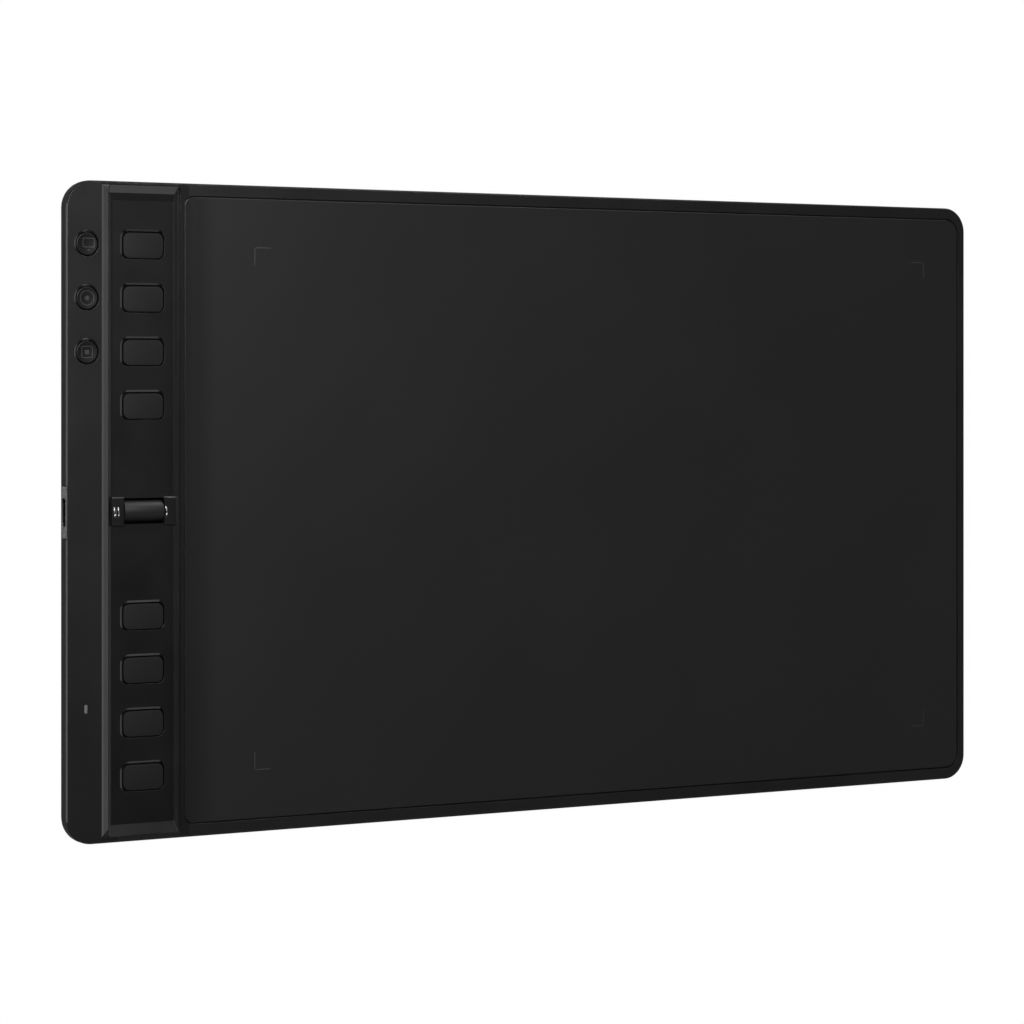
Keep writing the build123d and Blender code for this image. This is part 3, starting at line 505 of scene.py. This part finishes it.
class TABLET_OT_sheet(bpy.types.Operator):
    """Finish the drawing sheet and print its corner marks"""
    bl_idname = "tablet.sheet"
    bl_label = "Drawing Sheet"

    def execute(self, context):
        sizes, tints = context.scene.tablet_sizes, context.scene.tablet_colours
        # Hard-coated polyester film with a fine tooth for the pen: matt, with a broad faint sheen that
        # is stronger at its left edge.
        low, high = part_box("drawing_sheet")
        film = finish("Toothed polyester film", tints.sheet, 0.44, 0.28 * MM, 0.006 * MM, drift=0.05,
                      patch=60 * MM, rough_drift=0.02,
                      polish=[(0, low.x, 0.0, sizes.sheet_edge, 0.6)], IOR=1.42)
        smoothed("drawing_sheet", "drawing_film", "case", film, sizes.cover_edge / 2)

        ink = finish("Screen-printed ink", tints.mark, 0.5, 0.2 * MM, 0.003 * MM, IOR=1.5)
        tree, given = new_tree("Corner Marks", ["Length", "Width", "Arm", "Line", "Height"])
        grid = add_node(tree, "GeometryNodeMeshGrid",
                        {"Size X": given.outputs["Length"], "Size Y": given.outputs["Width"],
                         "Vertices X": 2, "Vertices Y": 2})
        shift = add_node(tree, "ShaderNodeMath",
                         {0: given.outputs["Line"], 1: given.outputs["Arm"]}, operation="SUBTRACT")
        half = add_node(tree, "ShaderNodeMath", {0: shift.outputs[0], 1: 0.5}, operation="MULTIPLY")
        arms = []
        for order in ("XY", "YX"):
            size = add_node(tree, "ShaderNodeCombineXYZ",
                            {order[0]: given.outputs["Arm"], order[1]: given.outputs["Line"],
                             "Z": given.outputs["Height"]})
            move = add_node(tree, "ShaderNodeCombineXYZ", {order[0]: half.outputs[0]})
            bar = add_node(tree, "GeometryNodeMeshCube", {"Size": size.outputs[0]})
            arms.append(add_node(tree, "GeometryNodeTransform",
                                 {"Geometry": bar.outputs[0], "Translation": move.outputs[0]}))
        corner = add_node(tree, "GeometryNodeJoinGeometry")
        for arm in arms:
            tree.links.new(arm.outputs[0], corner.inputs[0])
        # Each mark is turned by whole quarters so that its arms point to the middle
        where = add_node(tree, "ShaderNodeSeparateXYZ",
                         {0: add_node(tree, "GeometryNodeInputPosition").outputs[0]})
        angle = add_node(tree, "ShaderNodeMath", {0: where.outputs[1], 1: where.outputs[0]},
                         operation="ARCTAN2")
        quarter = add_node(tree, "ShaderNodeMath", {0: angle.outputs[0], 1: math.pi / 2},
                           operation="SNAP")
        turn = add_node(tree, "ShaderNodeCombineXYZ", {"Z": quarter.outputs[0]})
        rotate = add_node(tree, "FunctionNodeEulerToRotation", {0: turn.outputs[0]})
        marks = add_node(tree, "GeometryNodeInstanceOnPoints",
                         {"Points": grid.outputs[0], "Instance": corner.outputs[0],
                          "Rotation": rotate.outputs[0]})
        placed = add_node(tree, "GeometryNodeTransform",
                          {"Geometry": marks.outputs[0],
                           "Translation": (sizes.area_centre, 0, high.z)})
        close_tree(tree, given, placed.outputs[0])
        grown("area_marks", tree,
              {"Length": sizes.area_length, "Width": sizes.area_width, "Arm": sizes.mark_arm,
               "Line": sizes.mark_line, "Height": MARK_HEIGHT}, [(0, 0, 0)], "case", ink)
        return {"FINISHED"}


class TABLET_OT_keys(bpy.types.Operator):
    """Make the eight keycaps"""
    bl_idname = "tablet.keys"
    bl_label = "Express Keys"

    def execute(self, context):
        sizes, tints = context.scene.tablet_sizes, context.scene.tablet_colours
        # Satin ABS caps: drier than the channel round them.
        satin = finish("Satin ABS", tints.key, 0.55, 0.25 * MM, 0.006 * MM, drift=0.04, IOR=1.38)
        edge, slip = sizes.key_edge, sizes.key_slip / 2
        for number in range(1, 9):
            node = f"key_{number}"
            low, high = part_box(node)
            centre, half = (low + high) / 2, (high - low) / 2
            hx, hy = half.x - sizes.key_flange, half.y - sizes.key_flange
            shelf, top = low.z + sizes.flange_height, high.z - sizes.key_drop
            flange = outline(half.x, half.y, FLANGE_CORNER)
            rings = [(flange, low.z), (flange, shelf), (outline(hx, hy, KEY_CORNER), shelf)]
            # The cap is cut back at the back and left. Its edge is crisp there, and round at the front
            # and right: share is the part of the edge's radius that a point gets.
            full = shifted(outline(hx - slip, hy - slip, KEY_CORNER), slip, -slip)
            small = shifted(outline(hx - slip - edge, hy - slip - edge, KEY_CORNER - edge), slip, -slip)
            for n in range(EDGE_STEPS + 1):
                angle = math.pi / 2 * n / EDGE_STEPS
                ring = []
                for a, b in zip(full, small):
                    share = min(1.0, max(0.25, 0.6 + 0.8 * (a.x / hx - a.y / hy)))
                    ring.append((*a.lerp(b, share * (1 - math.cos(angle))),
                                 -share * edge * (1 - math.sin(angle))))
                rings.append((ring, top))
            form = bmesh.new()
            stack(form, centre.x, centre.y, rings)
            piece = new_piece(f"keycap_{number}", form, f"key_{number}_body", satin)
            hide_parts(node)
        return {"FINISHED"}


def lifted(form, x, y, points, level, lift):
    """Adds vertices to a form, lifted from the ground that level gives at their distance."""
    return [form.verts.new((x + p.x, y + p.y, level(p.length) + lift)) for p in points]


def ringed(form, x, y, outer, inner, level, height):
    """Adds a raised closed line between two outlines to a form."""
    rows = [lifted(form, x, y, points, level, lift)
            for points, lift in ((outer, -SYMBOL_ROOT), (outer, height), (inner, height),
                                 (inner, -SYMBOL_ROOT))]
    for low, high in zip(rows, rows[1:] + rows[:1]):
        bridge(form, low, high)


def plate(form, x, y, points, level, height):
    """Adds a raised plate to a form."""
    bottom = lifted(form, x, y, points, level, -SYMBOL_ROOT)
    top = lifted(form, x, y, points, level, height)
    bridge(form, bottom, top)
    form.faces.new(list(reversed(bottom)))
    form.faces.new(top)


class TABLET_OT_buttons(bpy.types.Operator):
    """Make the three round mode buttons and their generic symbols"""
    bl_idname = "tablet.buttons"
    bl_label = "Mode Buttons"

    def execute(self, context):
        sizes, tints = context.scene.tablet_sizes, context.scene.tablet_colours
        # Satin ABS, darker than the strip, with symbols moulded in and lightly polished; the symbols are
        # drawn a lighter grey than the button, as painted highlight on their relief.
        satin = finish("Dark satin ABS", tints.button, 0.46, 0.25 * MM, 0.004 * MM, IOR=1.36)
        raised = finish("Raised satin ABS with painted highlight", tints.symbol, 0.4, 0.25 * MM, 0.003 * MM, IOR=1.54)
        for number in range(1, 4):
            node = f"mode_button_{number}"
            low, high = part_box(node)
            centre, half = (low + high) / 2, (high - low) / 2
            radius = half.x - sizes.button_flange
            shelf = low.z + sizes.flange_height
            rim = radius - 1.4 * BUTTON_EDGE

            def level(distance):
                """Height of the dished face."""
                return high.z - sizes.button_dish * (1 - (distance / rim) ** 2)

            rings = [(circle(half.x), low.z), (circle(half.x), shelf), (circle(radius), shelf)]
            for n in range(EDGE_STEPS + 1):
                angle = math.pi / 2 * n / EDGE_STEPS
                rings.append((circle(radius - BUTTON_EDGE * (1 - math.cos(angle))),
                              high.z - BUTTON_EDGE * (1 - math.sin(angle))))
            # The dish's last ring keeps a small radius and is closed flat
            for n in range(DISH_RINGS):
                distance = rim * (1 - n / (DISH_RINGS - 0.5))
                rings.append((circle(distance), level(distance)))
            form = bmesh.new()
            stack(form, centre.x, centre.y, rings)
            piece = new_piece(f"mode_cap_{number}", form, f"mode_{number}_body", satin)
            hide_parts(node)

            form = bmesh.new()
            line, tall = sizes.symbol_line, sizes.symbol_height
            place = (centre.x, centre.y)
            if number == 1:
                # A frame a little off the middle, with a short mark below it
                wide, deep, corner, right, up = 2.0 * MM, 1.5 * MM, 0.4 * MM, 0.5 * MM, 0.4 * MM
                outer = outline(wide, deep, corner, 5, 6)
                inner = outline(wide - line, deep - line, corner - line / 2, 5, 6)
                ringed(form, *place, shifted(outer, right, up), shifted(inner, right, up), level, tall)
                mark = outline(0.5 * MM, 0.22 * MM, 0.2 * MM)
                plate(form, *place, shifted(mark, right, -1.9 * MM), level, tall)
            elif number == 2:
                # A ring round a dot
                ring, dot = 2.4 * MM, 0.75 * MM
                ringed(form, *place, circle(ring, 48), circle(ring - line, 48), level, tall)
                plate(form, *place, circle(dot, 32), level, tall)
            else:
                # A square frame round a small square
                side, corner, core = 1.9 * MM, 0.6 * MM, 0.7 * MM
                ringed(form, *place, outline(side, side, corner, 5, 6),
                       outline(side - line, side - line, corner - line, 5, 6), level, tall)
                plate(form, *place, outline(core, core, 0.15 * MM), level, tall)
            new_piece(f"mode_symbol_{number}", form, f"mode_{number}_body", raised)
        return {"FINISHED"}


class TABLET_OT_roller(bpy.types.Operator):
    """Make the roller's sleeve and collars"""
    bl_idname = "tablet.roller"
    bl_label = "Roller"

    def execute(self, context):
        sizes, tints = context.scene.tablet_sizes, context.scene.tablet_colours
        # ABS sleeve with a dull soft-touch lacquer, which spreads its highlight; bright nickel-plated
        # collars.
        lacquer = finish("Soft-touch lacquer", tints.roller, 0.5, 0.3 * MM, 0.003 * MM, IOR=1.46)
        nickel = finish("Turned nickel-plated steel", srgb("d8d9da"), 0.2, 0.2 * MM, 0.002 * MM,
                        Metallic=1.0)
        tree, given = new_tree("Turned Ring", ["Inner Radius", "Outer Radius", "Width", "Edge"])
        total = add_node(tree, "ShaderNodeMath",
                         {0: given.outputs["Inner Radius"], 1: given.outputs["Outer Radius"]})
        mean = add_node(tree, "ShaderNodeMath", {0: total.outputs[0], 1: 0.5}, operation="MULTIPLY")
        wall = add_node(tree, "ShaderNodeMath",
                        {0: given.outputs["Outer Radius"], 1: given.outputs["Inner Radius"]},
                        operation="SUBTRACT")
        path = add_node(tree, "GeometryNodeCurvePrimitiveCircle",
                        {"Resolution": 96, "Radius": mean.outputs[0]})
        section = add_node(tree, "GeometryNodeCurvePrimitiveQuadrilateral",
                           {"Width": wall.outputs[0], "Height": given.outputs["Width"]})
        rounded = add_node(tree, "GeometryNodeFilletCurve",
                           {"Curve": section.outputs[0], "Radius": given.outputs["Edge"], "Count": 4},
                           mode="POLY")
        ring = add_node(tree, "GeometryNodeCurveToMesh",
                        {"Curve": path.outputs[0], "Profile Curve": rounded.outputs[0]})
        upright = add_node(tree, "GeometryNodeTransform",
                           {"Geometry": ring.outputs[0], "Rotation": (0, math.pi / 2, 0)})
        placed = add_node(tree, "GeometryNodeInstanceOnPoints",
                          {"Points": given.outputs["Geometry"], "Instance": upright.outputs[0]})
        close_tree(tree, given, placed.outputs[0])
        low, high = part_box("roller_sleeve")
        sleeve = grown("roller_skin", tree,
                       {"Inner Radius": radius_of("roller_drum"),
                        "Outer Radius": radius_of("roller_sleeve"),
                        "Width": high.x - low.x, "Edge": sizes.roller_edge},
                       [middle("roller_sleeve")], "roller_body", lacquer)
        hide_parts("roller_sleeve")
        places = loose_middles("roller_collars")
        for number, (place, width) in enumerate(zip(places, COLLAR_WIDTHS), 1):
            ring = grown(f"collar_ring_{number}", tree,
                         {"Inner Radius": radius_of("roller_axle"),
                          "Outer Radius": radius_of("roller_collars"),
                          "Width": width, "Edge": COLLAR_EDGE},
                         [place], "roller_body", nickel)
            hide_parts("roller_collars")
        return {"FINISHED"}


class TABLET_OT_port(bpy.types.Operator):
    """Finish the port and the status light"""
    bl_idname = "tablet.port"
    bl_label = "Port and Light"

    def execute(self, context):
        # Drawn stainless steel in a dark grey, which is painted shade for the dark inside of the port; it
        # has a fine lighter lip
        drawn = finish("Drawn stainless steel darkened as painted shade", srgb("4b4c4e"), 0.35, 0.3 * MM, 0.003 * MM, Metallic=1.0)
        smoothed("usb_shell", "port_shell", "case", drawn, SHELL_EDGE)
        # Moulded surround on the floor of the notch, with a chamfer that catches the light; its pale grey
        # is painted reflection, standing in for the light that the notch's faces catch
        painted_reflection_grey = finish("Pale grey ABS as painted reflection", srgb("6c6d6e"), 0.3, 0.3 * MM, 0.003 * MM, IOR=1.54)
        low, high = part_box("usb_shell")
        hole, half_length, half_height = (high - low) / 2, 8.1 * MM, 1.75 * MM
        side, thickness, chamfer, gap = 0.1 * MM, 0.25 * MM, 0.2 * MM, 0.1 * MM
        outer = outline(half_height, half_length, 0.3 * MM)
        face = outline(half_height - chamfer, half_length - chamfer, 0.2 * MM)
        inner = outline(hole.z + gap, hole.y + gap, hole.z)
        form = bmesh.new()
        rows = stack(form, 0, 0, [(outer, 0.0), (outer, side), (face, thickness), (inner, thickness),
                                  (inner, 0.0)], cap=False)
        bridge(form, rows[-1], rows[0])
        # It was drawn lying flat; here it is stood up in the notch, facing left
        middle_z = (low.z + high.z) / 2
        form.transform(Matrix(((0, 0, -1, low.x), (0, 1, 0, 0), (1, 0, 0, middle_z), (0, 0, 0, 1))))
        new_piece("port_surround_painted_reflection", form, "case", painted_reflection_grey, crease=20)
        set_finish(NODES["usb_tongue"], finish("Glass-filled nylon", srgb("1b1b1c"), 0.55, 0.2 * MM,
                                               0.004 * MM, IOR=1.53))
        set_finish(NODES["usb_contacts"], finish("Gold-plated bronze", srgb("d9b25c"), 0.25, 0.2 * MM,
                                                 0.001 * MM, Metallic=1.0))
        set_finish(NODES["light_pipe"], finish("Frosted acrylic", srgb("606162"), 0.5, 0.3 * MM,
                                               0.004 * MM, IOR=1.49))
        set_finish(NODES["status_led"], finish("White LED resin", srgb("e6e3d6"), 0.4, 0.3 * MM,
                                               0.002 * MM, IOR=1.5))
        return {"FINISHED"}


class TABLET_OT_inside(bpy.types.Operator):
    """Finish the pieces inside the case"""
    bl_idname = "tablet.inside"
    bl_label = "Inside"

    def execute(self, context):
        mask = finish("Green solder mask on FR-4", srgb("14452c"), 0.3, 0.5 * MM, 0.006 * MM, IOR=1.55)
        tin = finish("Tin-plated sheet steel", srgb("9a9c9f"), 0.34, 0.6 * MM, 0.003 * MM, Metallic=1.0)
        nylon = finish("Black nylon", srgb("1c1c1e"), 0.5, 0.25 * MM, 0.004 * MM, IOR=1.53)
        spring = finish("Spring steel", srgb("b6b7b9"), 0.28, 0.2 * MM, 0.002 * MM, Metallic=1.0)
        ground = finish("Ground steel", srgb("a5a7aa"), 0.25, 0.15 * MM, 0.002 * MM, Metallic=1.0)
        moulded = finish("Moulded black ABS", srgb("202124"), 0.5, 0.3 * MM, 0.006 * MM, IOR=1.54)
        film = finish("Polyimide film", srgb("a9a08a"), 0.4, 0.4 * MM, 0.002 * MM, IOR=1.6)
        ivory = finish("Ivory nylon", srgb("d8d3c4"), 0.5, 0.25 * MM, 0.004 * MM, IOR=1.53)
        resin = finish("Epoxy resin", srgb("1b1b1d"), 0.55, 0.2 * MM, 0.004 * MM, IOR=1.55)
        zinc = finish("Black zinc-plated steel", srgb("3a3b3e"), 0.35, 0.2 * MM, 0.003 * MM, Metallic=1.0)
        groups = {
            mask: ["sensor_board", "key_board", "strip_board"], tin: ["shield_plate"],
            nylon: ["switch_housings", "encoder_body", "encoder_rotor"], spring: ["switch_domes"],
            ground: ["roller_axle"], moulded: ["roller_drum", "roller_cradle"],
            film: ["sensor_ribbon", "strip_ribbon"], ivory: ["ribbon_sockets"],
            resin: ["controller_chips"], zinc: ["board_screws"],
        }
        groups[nylon] += [f"switch_stem_{n}" for n in range(1, 9)] + [f"mode_stem_{n}" for n in range(1, 4)]
        for material, names in groups.items():
            for name in names:
                set_finish(NODES[name], material)
        return {"FINISHED"}


class TABLET_OT_fasteners(bpy.types.Operator):
    """Make the case screws and finish the feet"""
    bl_idname = "tablet.fasteners"
    bl_label = "Screws and Feet"

    def execute(self, context):
        sizes, tints = context.scene.tablet_sizes, context.scene.tablet_colours
        zinc = finish("Black zinc-plated screw steel", srgb("37383b"), 0.32, 0.2 * MM, 0.003 * MM,
                      Metallic=1.0)
        low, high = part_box("case_screws")
        tree, given = new_tree("Cross-head Screw", ["Head Radius", "Head Height", "Shank Radius",
                                                    "Length", "Recess"])
        lift = add_node(tree, "ShaderNodeMath", {0: given.outputs["Head Height"], 1: 0.5},
                        operation="MULTIPLY")
        head = add_node(tree, "GeometryNodeMeshCylinder",
                        {"Vertices": 40, "Radius": given.outputs["Head Radius"],
                         "Depth": given.outputs["Head Height"]})
        head = add_node(tree, "GeometryNodeTransform",
                        {"Geometry": head.outputs[0],
                         "Translation": add_node(tree, "ShaderNodeCombineXYZ",
                                                 {"Z": lift.outputs[0]}).outputs[0]})
        blade_length = add_node(tree, "ShaderNodeMath", {0: given.outputs["Head Radius"], 1: 1.25},
                                operation="MULTIPLY")
        blades = []
        for order in ("XY", "YX"):
            size = add_node(tree, "ShaderNodeCombineXYZ",
                            {order[0]: blade_length.outputs[0], order[1]: given.outputs["Recess"],
                             "Z": given.outputs["Head Height"]})
            blades.append(add_node(tree, "GeometryNodeMeshCube", {"Size": size.outputs[0]}))
        cut = add_node(tree, "GeometryNodeMeshBoolean", {"Mesh 1": head.outputs[0]},
                       operation="DIFFERENCE")
        for blade in blades:
            tree.links.new(blade.outputs[0], cut.inputs["Mesh 2"])
        shank_length = add_node(tree, "ShaderNodeMath",
                                {0: given.outputs["Length"], 1: given.outputs["Head Height"]},
                                operation="SUBTRACT")
        shank = add_node(tree, "GeometryNodeMeshCylinder",
                         {"Vertices": 24, "Radius": given.outputs["Shank Radius"],
                          "Depth": shank_length.outputs[0]})
        half = add_node(tree, "ShaderNodeMath", {0: shank_length.outputs[0], 1: 0.5},
                        operation="MULTIPLY")
        rise = add_node(tree, "ShaderNodeMath", {0: half.outputs[0], 1: given.outputs["Head Height"]})
        shank = add_node(tree, "GeometryNodeTransform",
                         {"Geometry": shank.outputs[0],
                          "Translation": add_node(tree, "ShaderNodeCombineXYZ",
                                                  {"Z": rise.outputs[0]}).outputs[0]})
        screw = add_node(tree, "GeometryNodeJoinGeometry")
        for part in (cut, shank):
            tree.links.new(part.outputs[0], screw.inputs[0])
        placed = add_node(tree, "GeometryNodeInstanceOnPoints",
                          {"Points": given.outputs["Geometry"], "Instance": screw.outputs[0]})
        close_tree(tree, given, placed.outputs[0])
        places = [(p.x, p.y, low.z) for p in loose_middles("case_screws")]
        screws = grown("cover_screws", tree,
                       {"Head Radius": SCREW_HEAD_RADIUS, "Head Height": SCREW_HEAD_HEIGHT,
                        "Shank Radius": SCREW_SHANK_RADIUS, "Length": high.z - low.z,
                        "Recess": sizes.screw_recess},
                       places, "case", zinc)
        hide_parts("case_screws")
        # Moulded silicone rubber: dull, very slightly blue-black, with a dusty bloom
        rubber = finish("Moulded rubber", tints.rubber, 0.75, 0.4 * MM, 0.02 * MM, drift=0.12,
                        patch=5 * MM, IOR=1.46)
        smoothed("rubber_feet", "sole_pads", "case", rubber, SOLE_EDGE)
        return {"FINISHED"}


class TABLET_OT_studio(bpy.types.Operator):
    """Set up the floor, the lamps, the world and the camera"""
    bl_idname = "tablet.studio"
    bl_label = "Studio"

    def execute(self, context):
        studio, scene = context.scene.tablet_studio, context.scene
        # Floor of matt white paper: the camera sees it as plain white with a trace of the object's
        # shadow, and gloss and glass see it dim
        form = bmesh.new()
        bmesh.ops.create_grid(form, x_segments=1, y_segments=1, size=4.0)
        mesh = bpy.data.meshes.new("studio_floor")
        form.to_mesh(mesh)
        form.free()
        floor = bpy.data.objects.new("studio_floor", mesh)
        floor.location.z = -FLOOR_DROP
        scene.collection.objects.link(floor)
        paper = bpy.data.materials.new("White paper")
        paper.use_nodes = True
        tree = paper.node_tree
        tree.nodes.clear()
        matt = add_node(tree, "ShaderNodeBsdfDiffuse", {"Color": studio.floor})
        ray = add_node(tree, "ShaderNodeLightPath")
        strength = add_node(tree, "ShaderNodeMapRange",
                            {"Value": ray.outputs["Is Camera Ray"], "To Min": studio.mirrored_white,
                             "To Max": 1.0})
        white = add_node(tree, "ShaderNodeEmission", {"Strength": strength.outputs[0]})
        direct = add_node(tree, "ShaderNodeMath",
                          {0: ray.outputs["Is Camera Ray"], 1: studio.floor_white}, operation="MULTIPLY")
        bounced = add_node(tree, "ShaderNodeMath",
                           {0: ray.outputs["Is Glossy Ray"], 1: ray.outputs["Is Transmission Ray"]},
                           operation="MAXIMUM")
        share = add_node(tree, "ShaderNodeMath", {0: direct.outputs[0], 1: bounced.outputs[0]},
                         operation="MAXIMUM")
        mix = add_node(tree, "ShaderNodeMixShader",
                       {0: share.outputs[0], 1: matt.outputs[0], 2: white.outputs[0]})
        add_node(tree, "ShaderNodeOutputMaterial", {"Surface": mix.outputs[0]})
        set_finish(floor, paper)

        # Dim walls and a darker ceiling, so that flat faces stay dark; the lamps draw the edges
        world = bpy.data.worlds.new("Studio")
        scene.world = world
        world.use_nodes = True
        tree = world.node_tree
        tree.nodes.clear()
        direction = add_node(tree, "ShaderNodeTexCoord").outputs["Generated"]
        height = add_node(tree, "ShaderNodeSeparateXYZ", {0: direction}).outputs[2]
        level = add_node(tree, "ShaderNodeMapRange",
                         {"Value": height, "From Min": 0.25, "From Max": 0.5,
                          "To Min": studio.horizon, "To Max": studio.ceiling},
                         interpolation_type="SMOOTHSTEP")
        sky = add_node(tree, "ShaderNodeBackground", {"Strength": level.outputs[0]})
        sky.inputs["Color"].default_value = (1.0, 1.0, 1.0, 1.0)
        add_node(tree, "ShaderNodeOutputWorld", {"Surface": sky.outputs[0]})

        # Each lamp's name, place, target, size and power, in metres and watts
        edge = studio.edge_power
        for name, place, target, size, power in (
                ("Key softbox", (-0.32, 0.3, 0.55), (-0.1, 0.05, 0), (0.4, 0.4), studio.key_power),
                ("Top softbox", (0.2, 0.2, 0.8), (-0.1, 0.08, 0), (0.6, 0.5), studio.top_power),
                ("Left edge softbox", (-1.46, 0.0, 0.545), (-0.17, 0, 0), (1.0, 0.3), edge * 2.5),
                ("Front edge softbox", (0.377, -0.75, 0.836), (-0.15, 0.1, 0), (0.5, 0.25), edge * 0.8),
                ("Right edge softbox", (2.04, -0.1, 1.08), (-0.16, 0, 0), (1.3, 0.5), edge * 3),
                ("Back edge softbox", (0.35, 0.95, 0.25), (-0.15, 0, 0), (0.4, 0.1), edge * 4),
                ):
            light = bpy.data.lights.new(name, "AREA")
            light.shape = "RECTANGLE"
            light.size, light.size_y = size
            light.energy = power
            lamp = bpy.data.objects.new(name, light)
            lamp.location = place
            lamp.rotation_mode = "QUATERNION"
            lamp.rotation_quaternion = (Vector(target) - Vector(place)).to_track_quat("-Z", "Y")
            scene.collection.objects.link(lamp)

        # The photograph's viewpoint: a long lens, 30 degrees to the left of straight above
        data = bpy.data.cameras.new("Photo view")
        data.sensor_width = 36.0
        data.lens = studio.lens
        data.shift_y = -0.1292
        data.clip_start, data.clip_end = 0.05, 20.0
        camera = bpy.data.objects.new("Photo view", data)
        right, up = Vector((0.8637, 0, 0.504)).normalized(), Vector((0, 1, 0))
        axes = Matrix((right, up, right.cross(up))).transposed().to_4x4()
        camera.matrix_world = Matrix.Translation((-0.5686, 0.0412, 0.957)) @ axes
        scene.collection.objects.link(camera)
        scene.camera = camera
        scene.view_settings.view_transform = "Standard"
        return {"FINISHED"}


class TABLET_PT_dressing(bpy.types.Panel):
    """Dress the tablet piece by piece"""
    bl_idname = "TABLET_PT_dressing"
    bl_label = "Graphics Tablet"
    bl_space_type = "VIEW_3D"
    bl_region_type = "UI"
    bl_category = "Tablet"

    def draw(self, context):
        for maker in MAKERS:
            self.layout.operator(maker.bl_idname)
        for group in ("tablet_sizes", "tablet_colours", "tablet_studio"):
            box = self.layout.box()
            settings = getattr(context.scene, group)
            for name in settings.bl_rna.properties.keys():
                if name not in ("rna_type", "name"):
                    box.prop(settings, name)


MAKERS = (TABLET_OT_covers, TABLET_OT_panel, TABLET_OT_sheet, TABLET_OT_keys, TABLET_OT_buttons,
          TABLET_OT_roller, TABLET_OT_port, TABLET_OT_inside, TABLET_OT_fasteners, TABLET_OT_studio)
SETTINGS = {"tablet_sizes": TabletSizes, "tablet_colours": TabletColours, "tablet_studio": TabletStudio}


def register():
    for group in SETTINGS.values():
        bpy.utils.register_class(group)
    for name, group in SETTINGS.items():
        setattr(bpy.types.Scene, name, bpy.props.PointerProperty(type=group))
    for maker in MAKERS + (TABLET_PT_dressing,):
        bpy.utils.register_class(maker)


def unregister():
    for maker in reversed(MAKERS + (TABLET_PT_dressing,)):
        bpy.utils.unregister_class(maker)
    for name, group in SETTINGS.items():
        delattr(bpy.types.Scene, name)
        bpy.utils.unregister_class(group)


def main():
    """Dresses the tablet."""
    register()
    for maker in MAKERS:
        group, name = maker.bl_idname.split(".")
        getattr(getattr(bpy.ops, group), name)()


if __name__ == "__main__":
    main()
